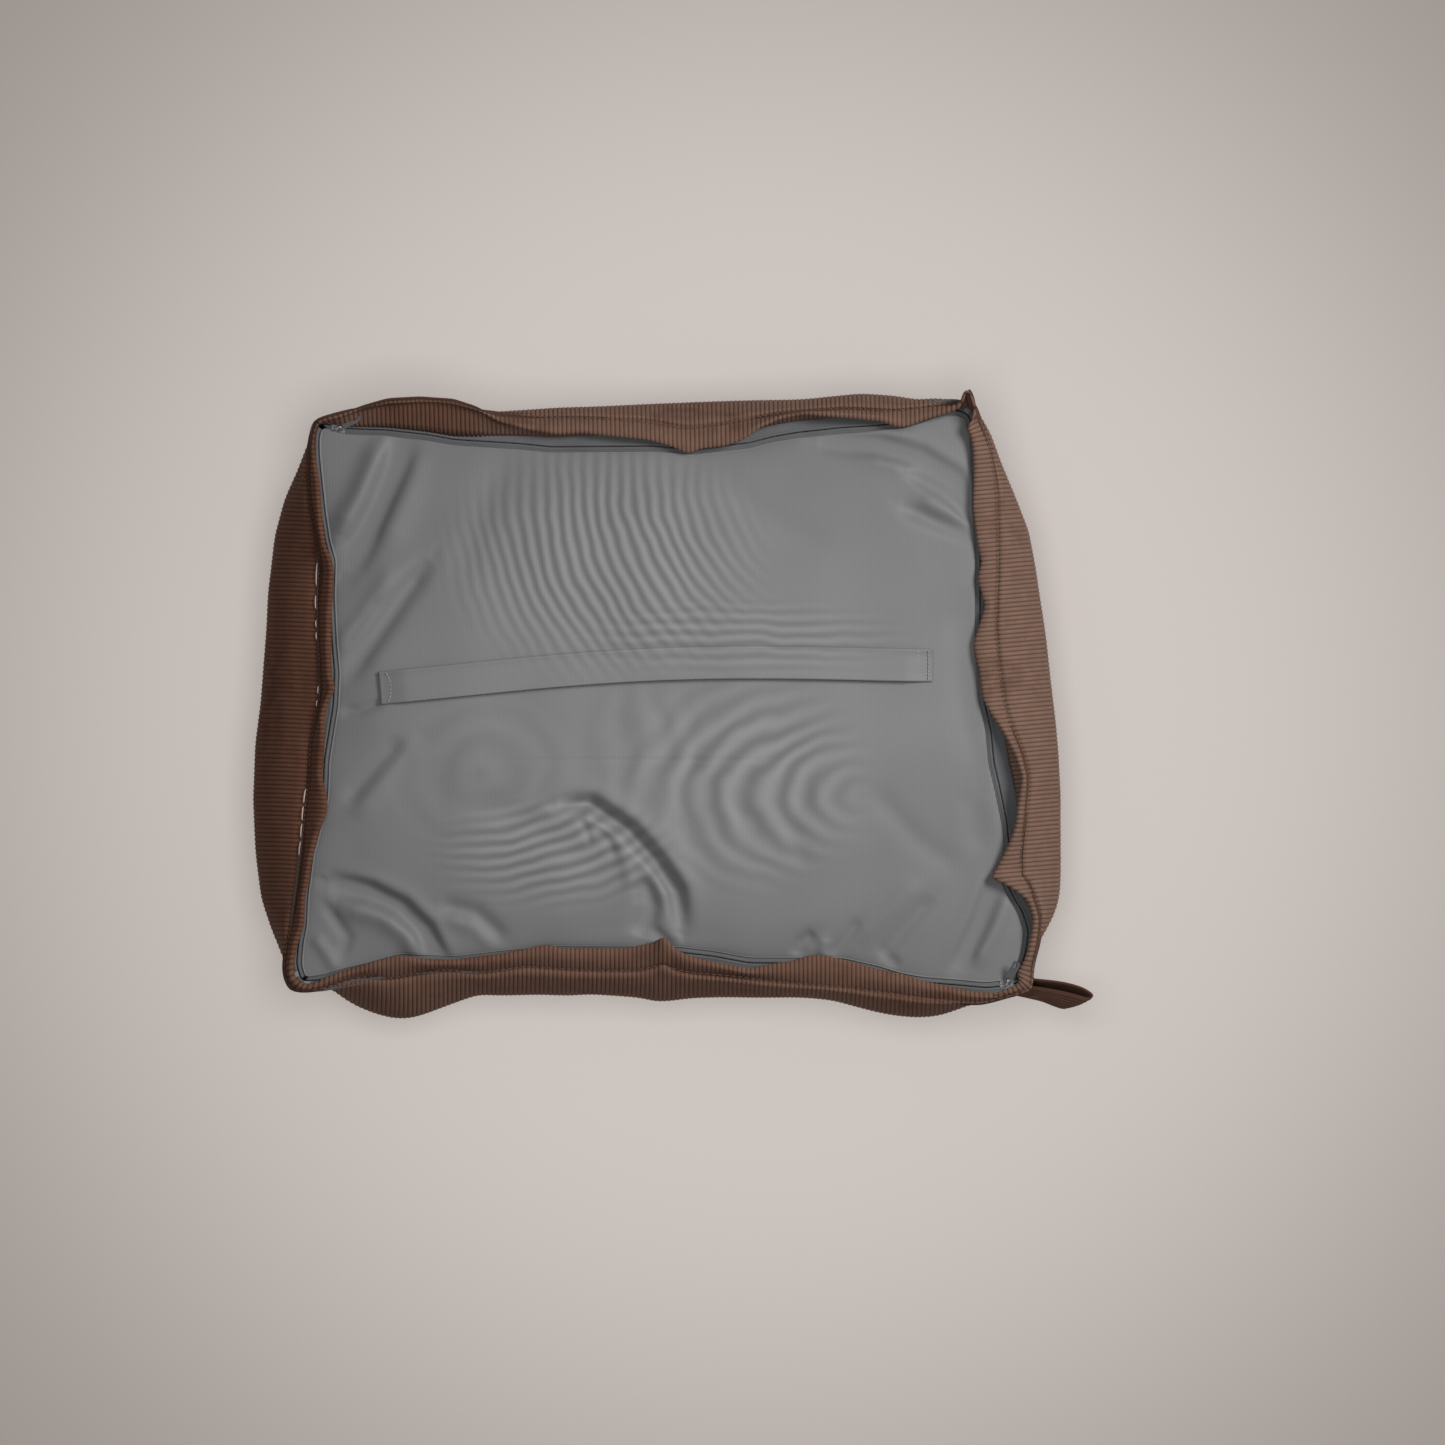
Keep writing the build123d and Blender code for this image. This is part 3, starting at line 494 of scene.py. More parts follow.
def band_knots(stations):
    """Profile of the cover at each station, from the sleeping seam up over the bulge, the row of
    stitches and the lip's edge to the lip's root at the zip tape, as points in space."""
    edge, stitch = at(RINGS["edge"], stations), at(RINGS["stitch"], stations)
    bulge = at(RINGS["bulge"], stations)
    edge_level = TAPE_LEVEL + at(RINGS["edge_height"], stations) / 1000
    stitch_level = TAPE_LEVEL + at(RINGS["stitch_height"], stations) / 1000
    root = np.minimum(at(RINGS["panel"], stations) + at(RINGS["zip"], stations), stitch + 1)
    crease = at(RINGS["crease"], stations) / 1000
    full = rim(stations, bulge, FULL_LEVEL)
    wall = np.maximum(bulge, stitch + 0.5)
    shoulder = stitch + np.clip((wall - stitch) * 0.3, 0.5, 4.0)
    lean = np.sign(stitch - edge) * np.minimum(np.abs(stitch - edge), 4) / 4
    seam = seam_below(full)
    low = seam + (full[:, :2] - seam) * 0.72
    middle_level = 0.5 * (stitch_level + edge_level) + 0.0018
    knots = np.stack([
        # The wall: its seam, under the bulge, the bulge, and over it up to the shoulder.
        raised(seam, SEAM_LEVEL),
        raised(low, 0.040),
        full,
        rim(stations, bulge + 0.10 * (stitch - bulge), 0.086),
        rim(stations, wall + 0.42 * (stitch - wall), 0.1035),
        rim(stations, shoulder, stitch_level - 0.0010),
        # The row of stitches, sunk in its crease.
        rim(stations, stitch + 0.25 * (shoulder - stitch), stitch_level - 0.8 * crease - 0.0004),
        rim(stations, stitch, stitch_level - crease),
        rim(stations, stitch - 1.3 * lean, stitch_level - 0.35 * crease),
        # The lip: up to its edge, round the fold, and down its inner side to the tape.
        rim(stations, stitch + 0.5 * (edge - stitch), middle_level),
        rim(stations, edge + 2.2 * lean, edge_level + 0.0002),
        rim(stations, edge - 0.4 * lean, edge_level - 0.0014),
        rim(stations, edge + 0.9 * lean, edge_level - 0.0038),
        rim(stations, 0.5 * (edge + root), 0.5 * (edge_level - 0.004) + 0.5 * (TAPE_LEVEL + 0.002)),
        rim(stations, root, TAPE_LEVEL + 0.0006),
    ])
    for station, width, pull in LIP_PULLS:
        near = np.exp(-((stations - station) / width) ** 2)[:, None] * np.array(pull) / 1000
        knots[5:13] += near  # from the shoulder to the lip's inner side
        knots[4] += near * 0.3
    return knots


BAND_ROWS = (4, 4, 4, 3, 3, 2, 2, 2, 3, 3, 3, 3, 2, 2)  # rows between two knots of the profile
LIP_ROWS = slice(32, 41)  # from the lip's edge inwards
RUMPLE, RUMPLE_REACH = 0.0005, 0.016  # height and spread of the walls' slow unevenness
LINING_ROWS = np.array((-2, -7, -13, -21, -24, -28, 4, 0))  # rows of the face that it follows


def band_grid(side):
    """Grid of one side band: the profile carried along the side, raised along its normals by the
    wales, and then its lining, which goes back down the inside of the wall a cloth's thickness in."""
    stations, places = wale_stations(side)
    face = spline_rows(band_knots(stations), BAND_ROWS)
    face += grid_normals(face) * soft_noise(face, RUMPLE_REACH, 7 + side)[..., None] * RUMPLE
    normals = grid_normals(face)
    pile = np.broadcast_to(ridge(places), face.shape[:2])
    face = face + normals * pile[..., None] * sizes().wale_height
    lining = (face - normals * (sizes().cloth + pile[..., None] * sizes().wale_height))[LINING_ROWS]
    spread = np.linspace(0, len(lining) - 1, len(face))
    below = np.minimum(spread.astype(int), len(lining) - 2)
    share = (spread - below)[:, None, None]
    lining = lining[below] * (1 - share) + lining[below + 1] * share
    points = np.concatenate((face, lining))
    wale = np.concatenate((pile, np.zeros(lining.shape[:2])))
    return points, wale, stations


def painted_shade_round(side, stations, rows):
    """Painted shade at each point of a band: its wall's share, turning to the next
    wall's over the last twentieth of the side.  The lip's inner side, where it flares, is given more
    painted shade."""
    share = np.interp(
        stations, (side, side + 0.05, side + 0.95, side + 1),
        ((WALL_SHADE[side] + WALL_SHADE[side - 1]) / 2, WALL_SHADE[side], WALL_SHADE[side],
         (WALL_SHADE[side] + WALL_SHADE[(side + 1) % 4]) / 2))
    share = np.broadcast_to(share, (rows, len(stations))).copy()
    flare = np.clip((at(RINGS["edge"], stations) - at(RINGS["stitch"], stations) + 2) / 5, 0, 1)
    # painted shade: the flared lip's inner side is painted darker by raising its share of painted shade
    share[LIP_ROWS] += (1 - share[LIP_ROWS]) * 0.75 * flare
    return share


def sleeping_grid():
    """Grid of the sleeping panel, in rows of wales across the bed: each row spans the
    superellipse's width, and the level rises from the floor as the square of the distance past
    the flat patch.  The faces look down."""
    count = round(2 * SEAM_HALF[1] / sizes().wale_pitch)
    places = (np.arange(count)[:, None] + WALE_SAMPLES).ravel()
    places = np.append(places, count)
    y = np.clip(places / count * 2 - 1, -0.9995, 0.9995)
    half = (1 - np.abs(y) ** CORNER_POWER) ** (1 / CORNER_POWER)
    turn = np.sin(np.linspace(-np.pi / 2, np.pi / 2, 64))
    x = turn[:, None] * half
    y = np.broadcast_to(y, x.shape)
    size = (np.abs(x) ** CORNER_POWER + np.abs(y) ** CORNER_POWER) ** (1 / CORNER_POWER)
    past = np.clip((size - 0.82) / 0.18, 0, 1)
    pile = np.broadcast_to(ridge(places), x.shape)
    level = SEAM_LEVEL * past**2 + (1 - pile) * sizes().wale_height * 0.8
    points = np.stack((x * SEAM_HALF[0], y * SEAM_HALF[1], level), axis=-1)
    return points, pile


def distance_to_path(plan, path):
    """Signed distance from each plan point to a broken line, and how far along it the nearest
    point lies, as a share.  The sign is that of the cross product with the line's direction."""
    best = np.full(plan.shape[:-1], 1e9)
    signed = np.zeros_like(best)
    share = np.zeros_like(best)
    lengths = np.linalg.norm(np.diff(path, axis=0), axis=1)
    travelled = np.concatenate(((0.0,), np.cumsum(lengths)))
    for index in range(len(lengths)):
        step = path[index + 1] - path[index]
        offset = plan - path[index]
        t = np.clip((offset @ step) / (step @ step), 0, 1)
        gap = offset - t[..., None] * step
        distance = np.linalg.norm(gap, axis=-1)
        side = np.sign(step[0] * gap[..., 1] - step[1] * gap[..., 0])
        nearer = distance < best
        best = np.where(nearer, distance, best)
        signed = np.where(nearer, distance * side, signed)
        along = (travelled[index] + t * lengths[index]) / travelled[-1]
        share = np.where(nearer, along, share)
    return signed, share


SHALLOW = 0.0025  # under this height a fold flattens out, so that it never sinks under the hem


def panel_height(plan, edge_share):
    """Height of the base panel over its hem, in metres: a crown that rises steeply from the edge,
    a slow unevenness, and each fold, a bell across its line that fades at both ends; a lean makes
    one flank of it steeper."""
    crown = sizes().panel_rise * np.clip(edge_share, 0, 1) ** 0.55
    flat = raised(plan, 0.0)
    height = crown + 0.0011 * np.clip(edge_share * 4, 0, 1) * soft_noise(flat, 0.030, 3)
    height += 0.0005 * np.clip(edge_share * 6, 0, 1) * soft_noise(flat, 0.011, 5)
    for path, depth, width, lean in FOLDS:
        signed, share = distance_to_path(plan * 1000, np.array(path, float))
        across = signed / width
        fade = np.clip(np.minimum(share, 1 - share) * 5 + 0.12, 0, 1) ** 0.8
        bell = np.exp(-across**2) * (1 + lean * across)
        height += sizes().fold_depth * depth / 1000 * bell * fade
    under = np.minimum(height - SHALLOW, 0)
    return np.where(height < SHALLOW, SHALLOW * np.exp(under / SHALLOW), height)


def panel_grid(columns=252, rows=194):
    """Grid of the base panel: the four stretches of its hem joined by a Coons patch (the two
    straight blends between facing edges, less the blend of the four corners), then lifted by
    panel_height."""
    hem = rim(STATIONS, RINGS["panel"], HEM_LEVEL)
    s, t = np.linspace(0, 1, columns), np.linspace(0, 1, rows)
    back, right = at(hem, s), at(hem, 1 + t)
    front, left = at(hem, 3 - s), at(hem, 4 - t)
    down, across = t[:, None, None], s[None, :, None]
    blend = (1 - down) * back[None] + down * front[None]
    blend = blend + (1 - across) * left[:, None] + across * right[:, None]
    corners = (1 - down) * (1 - across) * back[0] + (1 - down) * across * back[-1]
    corners = corners + down * (1 - across) * front[0] + down * across * front[-1]
    points = blend - corners
    edge_share = (4 * t * (1 - t))[:, None] * (4 * s * (1 - s))[None, :]
    points[..., 2] = HEM_LEVEL + panel_height(points[..., :2], edge_share)
    return points


def panel_level(plan):
    """Level of the base panel's top at plan points: the mean of the four nearest points of a
    coarse grid of the panel."""
    grid = panel_grid(140, 108)
    flat = grid.reshape(-1, 3)
    gaps = plan[:, None, :] - flat[None, :, :2]
    nearest = (gaps**2).sum(axis=-1).argsort(axis=1)[:, :4]
    return flat[nearest, 2].mean(axis=1)


# ---------------------------------------------------------------- materials
def add_node(tree, kind, inputs=(), **settings):
    """A node with its settings; an input is a socket to link or a value to set."""
    made = tree.nodes.new(kind)
    for key, value in settings.items():
        setattr(made, key, value)
    for key, value in dict(inputs).items():
        if isinstance(value, bpy.types.NodeSocket):
            tree.links.new(value, made.inputs[key])
        else:
            made.inputs[key].default_value = value
    return made


def math_node(tree, operation, first, second=0.5, third=0.5):
    """Result of one arithmetic node."""
    node = add_node(tree, "ShaderNodeMath", {0: first, 1: second, 2: third}, operation=operation)
    return node.outputs[0]


def mixed(tree, factor, first, second, blend="MIX"):
    """Colour between two colours."""
    node = add_node(
        tree, "ShaderNodeMix", {0: factor, 6: first, 7: second}, data_type="RGBA", blend_type=blend)
    return node.outputs[2]


def tone(rgb, scale=1.0):
    """A colour as four numbers, scaled."""
    return (rgb[0] * scale, rgb[1] * scale, rgb[2] * scale, 1.0)


def start_material(name, roughness, specular=0.3, sheen=0.0, sheen_tint=(1, 1, 1), metallic=0.0):
    """A material and its tree, principled shader and Object coordinates.  What is the same all
    over the surface is set on the shader itself."""
    material = bpy.data.materials.new(name)
    material.use_nodes = True
    tree = material.node_tree
    shader = tree.nodes["Principled BSDF"]
    shader.inputs["Roughness"].default_value = roughness
    shader.inputs["Specular IOR Level"].default_value = specular
    shader.inputs["Sheen Weight"].default_value = sheen
    shader.inputs["Sheen Roughness"].default_value = 0.45
    shader.inputs["Sheen Tint"].default_value = (*sheen_tint, 1.0)
    shader.inputs["Metallic"].default_value = metallic
    place = add_node(tree, "ShaderNodeTexCoord").outputs["Object"]
    return material, tree, shader, place


def noise(tree, place, scale, detail=2.0, stretch=None):
    """Noise in space, its place stretched along the axes if asked."""
    if stretch:
        place = add_node(tree, "ShaderNodeMapping", {"Vector": place, "Scale": stretch}).outputs[0]
    made = add_node(
        tree, "ShaderNodeTexNoise", {"Vector": place, "Scale": scale, "Detail": detail})
    return made.outputs["Fac"]


def stripes(tree, place, axis, pitch):
    """Bands across one axis, 0 to 1, a pitch apart: a sine of the place along the axis."""
    parts = add_node(tree, "ShaderNodeSeparateXYZ", {0: place})
    turned = math_node(tree, "MULTIPLY", parts.outputs[axis], 2 * math.pi / pitch)
    wave = math_node(tree, "SINE", turned)
    return math_node(tree, "MULTIPLY_ADD", wave, 0.5, 0.5)


def between(tree, value, low, high):
    """A value brought to 0 to 1 between two limits, smoothly."""
    node = add_node(
        tree, "ShaderNodeMapRange", {0: value, 1: low, 2: high}, interpolation_type="SMOOTHSTEP")
    return node.outputs[0]


def bump(tree, shader, height, distance, strength=1.0):
    """A bump of that height in metres on the shader."""
    made = add_node(
        tree, "ShaderNodeBump", {"Height": height, "Distance": distance, "Strength": strength})
    tree.links.new(made.outputs[0], shader.inputs["Normal"])


def attribute(tree, name):
    """One of the piece's own point values."""
    return add_node(tree, "ShaderNodeAttribute", attribute_name=name).outputs["Fac"]


def corduroy_material():
    """Cut pile: a darker ground between the wales and lighter pile tops, which are partly the cloth's
    own colours and partly painted shade in the grooves and painted highlight on the pile, patches
    where the pile is pushed over, and fine fibre grain.  Each wall is painted darker and redder by
    its share of painted shade."""
    c = colours()
    material, tree, shader, place = start_material("corduroy", 0.95, 0.08, 0.07, (0.9, 0.62, 0.50))
    wale = attribute(tree, "wale")
    fibre = noise(tree, place, 1500, 2.0)
    patch = between(tree, noise(tree, place, 19, 3.0), 0.52, 0.66)
    streak = noise(tree, place, 90, 3.0)
    top = mixed(tree, math_node(tree, "MULTIPLY", patch, 0.55), tone(c.pile), tone(c.rubbed))
    top = mixed(tree, between(tree, streak, 0.3, 0.75), top, tone(c.pile, 1.15))
    height = between(tree, wale, 0.0, 1.05)
    # the ground between the wales is partly its own darker colour and partly painted shade in the groove;
    # the pile tops are partly painted highlight
    shade = mixed(tree, height, tone(c.groove), top)
    grain = math_node(tree, "MULTIPLY_ADD", fibre, 0.5, 0.75)
    shade = mixed(tree, 1.0, shade, grain, "MULTIPLY")
    # painted shade: the colour is multiplied toward a darker, redder tint by the point's share of painted
    # shade
    shade = mixed(tree, attribute(tree, "painted_shade"), shade, tone(c.painted_shade), "MULTIPLY")
    tree.links.new(shade, shader.inputs["Base Color"])
    bump(tree, shader, fibre, 0.0003, 0.5)
    return material


def cloth_place(tree, offset=(0.0, 0.0), scale=(1.0, 1.0)):
    """The cloth's own place, from the plan that the piece keeps on its points, moved and scaled."""
    parts = []
    for axis, name in enumerate(("plan_x", "plan_y")):
        moved = math_node(tree, "SUBTRACT", attribute(tree, name), offset[axis])
        parts.append(math_node(tree, "MULTIPLY", moved, scale[axis]))
    return add_node(tree, "ShaderNodeCombineXYZ", {0: parts[0], 1: parts[1], 2: 0.0}).outputs[0]


def distance_from_origin(tree, place):
    """Length of a vector."""
    return add_node(
        tree, "ShaderNodeVectorMath", {0: place}, operation="LENGTH").outputs["Value"]


def watered_light(tree):
    """Light and dark of the watered pattern round 1: for each set of rings, the sine of the
    distance from its middle over the distance between rings, faded out from its patch."""
    wander = noise(tree, cloth_place(tree), 15, 2.0)
    total = None
    for middle, spacing, patch, reach, strength in WATERED:
        rings = cloth_place(
            tree, [v / 1000 for v in middle], [1000 / v for v in spacing])
        turns = math_node(tree, "MULTIPLY_ADD", wander, 1.6, distance_from_origin(tree, rings))
        wave = math_node(tree, "SINE", math_node(tree, "MULTIPLY", turns, 2 * math.pi))
        away = distance_from_origin(
            tree, cloth_place(tree, [v / 1000 for v in patch], [1000 / v for v in reach]))
        shown = between(tree, away, 1.25, 0.35)
        part = math_node(tree, "MULTIPLY", wave, math_node(tree, "MULTIPLY", shown, strength))
        total = math_node(tree, "ADD", part, 1.0 if total is None else total)
    return total


def base_cloth_material():
    """Coated cloth: close ribs along the bed's width, faint cross threads, slow soiling, the
    watered pattern that the ribs make where the cloth is stretched, and painted shade that darkens it
    toward its edges."""
    c = colours()
    material, tree, shader, _ = start_material("base_cloth", 0.55, 0.34, 0.06, (0.9, 0.92, 1.0))
    place = cloth_place(tree)
    ribs = stripes(tree, place, 0, 0.00118)
    threads = stripes(tree, place, 1, 0.0009)
    weave = math_node(tree, "MULTIPLY_ADD", threads, 0.3, ribs)
    cloud = noise(tree, place, 9, 3.0)
    flecks = noise(tree, place, 650, 2.0)
    shade = mixed(tree, cloud, tone(c.base_cloth, 0.90), tone(c.base_cloth, 1.10))
    shade = mixed(tree, 1.0, shade, watered_light(tree), "MULTIPLY")
    line = math_node(tree, "MULTIPLY_ADD", weave, 0.11, 0.93)
    shade = mixed(tree, 1.0, shade, line, "MULTIPLY")
    speck = math_node(tree, "MULTIPLY_ADD", flecks, 0.12, 0.94)
    shade = mixed(tree, 1.0, shade, speck, "MULTIPLY")
    # painted shade: the cloth is painted up to 16 % darker from its middle out to its edges
    hem = between(
        tree, distance_from_origin(tree, cloth_place(tree, (0, 0), (4.0, 4.8))), 0.4, 1.15)
    shade = mixed(tree, hem, shade, (0.84, 0.84, 0.845, 1.0), "MULTIPLY")
    tree.links.new(shade, shader.inputs["Base Color"])
    rough = math_node(tree, "MULTIPLY_ADD", cloud, 0.16, 0.47)
    tree.links.new(rough, shader.inputs["Roughness"])
    bump(tree, shader, weave, 0.00012, 0.45)
    return material


def tape_material():
    """Woven zip tape: close cross ribs and a little soil."""
    c = colours()
    material, tree, shader, place = start_material("zip_tape", 0.7, 0.25, 0.05)
    weave = math_node(tree, "ADD", stripes(tree, place, 0, 0.0011), stripes(tree, place, 1, 0.0011))
    cloud = noise(tree, place, 40, 3.0)
    shade = mixed(tree, cloud, tone(c.tape, 0.85), tone(c.tape, 1.2))
    line = math_node(tree, "MULTIPLY_ADD", weave, 0.06, 0.94)
    shade = mixed(tree, 1.0, shade, line, "MULTIPLY")
    tree.links.new(shade, shader.inputs["Base Color"])
    bump(tree, shader, weave, 0.0001, 0.5)
    return material


def coil_material():
    """Moulded coil: satin, with slight wear on the crowns of the teeth."""
    c = colours()
    material, tree, shader, place = start_material("zip_coil", 0.4, 0.45)
    worn = between(tree, noise(tree, place, 120, 3.0), 0.4, 0.7)
    shade = mixed(tree, worn, tone(c.coil), tone(c.coil, 1.7))
    tree.links.new(shade, shader.inputs["Base Color"])
    rough = math_node(tree, "MULTIPLY_ADD", worn, 0.2, 0.32)
    tree.links.new(rough, shader.inputs["Roughness"])
    return material


def slider_material():
    """Lacquered die-cast metal with cloudy gloss and fine scratches."""
    c = colours()
    material, tree, shader, place = start_material("slider_metal", 0.34, 0.5, metallic=0.75)
    cloud = noise(tree, place, 300, 4.0)
    scratch = noise(tree, place, 900, 2.0, (1.0, 0.12, 1.0))
    shade = mixed(tree, cloud, tone(c.metal, 0.8), tone(c.metal, 1.25))
    tree.links.new(shade, shader.inputs["Base Color"])
    rough = math_node(tree, "MULTIPLY_ADD", cloud, 0.25, 0.22)
    tree.links.new(rough, shader.inputs["Roughness"])
    bump(tree, shader, scratch, 0.00004, 0.4)
    return material


def thread_material(name, rgb):
    """Spun thread: a twist that shows as slanting light and dark bands."""
    material, tree, shader, place = start_material(name, 0.75, 0.2, 0.2)
    turned = add_node(
        tree, "ShaderNodeMapping", {"Vector": place, "Rotation": (0.4, 0.5, 0.7)}).outputs[0]
    twist = stripes(tree, turned, 0, 0.0009)
    fuzz = noise(tree, place, 900, 2.0)
    shade = mixed(tree, twist, tone(rgb, 0.8), tone(rgb, 1.12))
    shade = mixed(tree, math_node(tree, "MULTIPLY", fuzz, 0.25), shade, tone(rgb, 1.3))
    tree.links.new(shade, shader.inputs["Base Color"])
    bump(tree, shader, twist, 0.00012, 0.5)
    return material


def liner_material():
    """Spunbonded non-woven: a lattice of bonded dots over a soft fibrous ground."""
    c = colours()
    material, tree, shader, place = start_material("liner_cloth", 0.85, 0.2, 0.15)
    dots = math_node(
        tree, "MULTIPLY", stripes(tree, place, 0, 0.0022), stripes(tree, place, 1, 0.0022))
    fibre = noise(tree, place, 420, 4.0)
    shade = mixed(tree, fibre, tone(c.liner, 0.86), tone(c.liner, 1.06))
    dent = between(tree, dots, 0.45, 0.9)
    shade = mixed(tree, math_node(tree, "MULTIPLY", dent, 0.35), shade, tone(c.liner, 0.8))
    tree.links.new(shade, shader.inputs["Base Color"])
    depth = math_node(tree, "SUBTRACT", math_node(tree, "MULTIPLY", fibre, 0.6), dent)
    bump(tree, shader, depth, 0.0002, 0.7)
    return material


def floor_material():
    """Pale matt floor, painted slowly and slightly darker outwards from a point near the bed's middle: a
    painted falloff of light.
    """
    c = colours()
    material, tree, shader, place = start_material("floor", 0.9, 0.1)
    # painted light: the floor's tone is a painted pool of light centred 8 cm right of the middle, falling
    # off to the far colour
    centred = add_node(
        tree, "ShaderNodeMapping", {"Vector": place, "Location": (-0.08, 0, 0)}).outputs[0]
    away = between(tree, distance_from_origin(tree, centred), 0.30, 0.92)
    grain = noise(tree, place, 5, 3.0)
    shade = mixed(tree, away, tone(c.floor), tone(c.floor_painted_falloff))
    shade = mixed(tree, math_node(tree, "MULTIPLY", grain, 0.04), shade, tone(c.floor, 0.8))
    tree.links.new(shade, shader.inputs["Base Color"])
    return material


MATERIALS = {}


def material_for(slot):
    """The material of a slot, made once."""
    makers = {
        "corduroy": corduroy_material,
        "base_cloth": base_cloth_material,
        "zip_tape": tape_material,
        "zip_coil": coil_material,
        "slider_metal": slider_material,
        "liner_cloth": liner_material,
        "grey_thread": lambda: thread_material("grey_thread", colours().grey_thread),
        "brown_thread": lambda: thread_material("brown_thread", colours().brown_thread),
        "basting_thread": lambda: thread_material("basting_thread", colours().basting),
        "floor": floor_material,
    }
    if slot not in MATERIALS:
        MATERIALS[slot] = makers[slot]()
    return MATERIALS[slot]


def bend_with_flap(piece):
    """The piece's place is baked into its mesh; it is not bent."""
    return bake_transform(piece)


def stitches(name, starts, ends, normal, thickness, slot):
    """Thread stitches as one mesh: each is a six-sided spindle from start to end, with its ends
    sunk in the cloth and its middle lifted along the cloth's normal."""
    along = ends - starts
    length = np.linalg.norm(along, axis=1, keepdims=True)
    along = along / length
    side = np.cross(np.array(normal), along)
    side /= np.linalg.norm(side, axis=1, keepdims=True)
    up = np.cross(along, side)
    shares = np.array((0.0, 0.12, 0.5, 0.88, 1.0))
    widths = np.array((0.25, 0.85, 1.0, 0.85, 0.25)) * thickness / 2
    lifts = np.array((-0.3, 0.35, 0.6, 0.35, -0.3)) * thickness
    turn = np.arange(6) * np.pi / 3
    centre = starts[:, None] + along[:, None] * (length * shares)[..., None]
    centre = centre + up[:, None] * lifts[:, None]
    spoke = (
        np.cos(turn)[:, None] * side[:, None, None] + np.sin(turn)[:, None] * up[:, None, None])
    points = centre[:, :, None] + spoke * widths[:, None, None]
    tube = grid_faces(len(shares), len(turn), wrap_columns=True)
    caps = np.array(((0, 1, 2, 3), (0, 3, 4, 5), (27, 26, 25, 24), (29, 28, 27, 24)))
    faces = np.concatenate((tube, caps))
    shift = np.arange(len(starts))[:, None, None] * len(shares) * len(turn)
    piece = make_piece(name, points, (faces + shift).reshape(-1, 4), material_for(slot))
    return piece


# ---------------------------------------------------------------- operators
class BED_OT_side_bands(bpy.types.Operator):
    """Sew the four corduroy walls with their lips"""

    bl_idname = "bed.side_bands"
    bl_label = "Side Bands"

    def execute(self, context):
        for side, name in enumerate(SIDES):
            points, wale, stations = band_grid(side)
            rows, columns = wale.shape
            # each band carries its share of painted shade as a point value
            piece = make_piece(
                f"{name}_wall", points, tube_faces(rows, columns), material_for("corduroy"),
                {"wale": wale, "painted_shade": painted_shade_round(side, stations, rows)})
            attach(piece, "cover")
            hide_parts(f"side_band_{name}")
        return {"FINISHED"}


class BED_OT_sleeping_panel(bpy.types.Operator):
    """Sew the corduroy panel that the pet lies on"""

    bl_idname = "bed.sleeping_panel"
    bl_label = "Sleeping Panel"

    def execute(self, context):
        points, pile = sleeping_grid()
        # the sleeping panel gets a fixed share of 0.2 painted shade
        piece = make_piece(
            "sleeping_face", points, grid_faces(*pile.shape), material_for("corduroy"),
            {"wale": pile, "painted_shade": np.full(pile.shape, 0.2)})
        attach(piece, "cover")
        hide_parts("sleeping_panel")
        return {"FINISHED"}


class BED_OT_inner_cushion(bpy.types.Operator):
    """Stuff the inner cushion that the cover holds"""

    bl_idname = "bed.inner_cushion"
    bl_label = "Inner Cushion"

    def execute(self, context):
        stations = np.arange(360) * 4 / 360
        bulge = at(RINGS["bulge"], stations) - 7
        stitch = at(RINGS["stitch"], stations) - 6
        panel = at(RINGS["panel"], stations)
        full = rim(stations, bulge, FULL_LEVEL)
        seam = seam_below(full) * 0.975
        hem = rim(stations, panel - 14, 0.109)
        # From the middle underneath, out to the seam, up the side and in under the base panel.
        knots = [
            raised(seam * 0.02, 0.004),
            raised(seam * 0.82, 0.005),
            raised(seam, SEAM_LEVEL + 0.003),
            full,
            rim(stations, np.minimum(stitch, bulge), 0.092),
            rim(stations, np.minimum(panel, stitch) - 4, 0.1055),
            hem,
        ]
        for share in (0.8, 0.6, 0.4, 0.2, 0.01):
            plan = EYE * (1 - share) + hem[:, :2] * share
            knots.append(raised(plan, FLAP_LEVEL - 0.0030 + 0.003 * (1 - share) ** 0.5))
        grid = spline_rows(np.stack(knots), (3, 3, 4, 4, 3, 2, 5, 4, 4, 4, 4))
        inward = grid_normals(np.concatenate((grid, grid[:, :1]), axis=1))[:, :-1]
        dents = np.minimum(soft_noise(grid, 0.013, 21), 0.2) * 0.0009
        grid = grid + inward * dents[..., None]
        rows, columns = grid.shape[:2]
        pole = closing_faces(columns)
        faces = np.concatenate((
            grid_faces(rows, columns, wrap_columns=True), pole[:, ::-1], pole + (rows - 1) * columns))
        piece = make_piece("inner_cushion", grid, faces, material_for("liner_cloth"))
        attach(piece, "cover")
        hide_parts("inner_liner", "inner_fill")
        return {"FINISHED"}


class BED_OT_base_panel(bpy.types.Operator):
    """Sew the grey base panel with its folds"""

    bl_idname = "bed.base_panel"
    bl_label = "Base Panel"

    def execute(self, context):
        points = panel_grid()
        rows, columns = points.shape[:2]
        count = rows * columns
        index = np.arange(count).reshape(rows, columns)
        border = np.concatenate((index[0], index[1:, -1], index[-1, -2::-1], index[-2:0:-1, 0]))
        following = np.roll(border, -1)
        hem = np.stack((border + count, following + count, following, border), axis=1)
        top = grid_faces(rows, columns)
        both = np.stack((points, points - np.array((0, 0, sizes().panel_cloth))))
        piece = make_piece(
            "base_panel_cloth", both, np.concatenate((top, top[:, ::-1] + count, hem)),
            material_for("base_cloth"), plan_of(both))
        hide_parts("base_panel")
        bend_with_flap(piece)
        return {"FINISHED"}


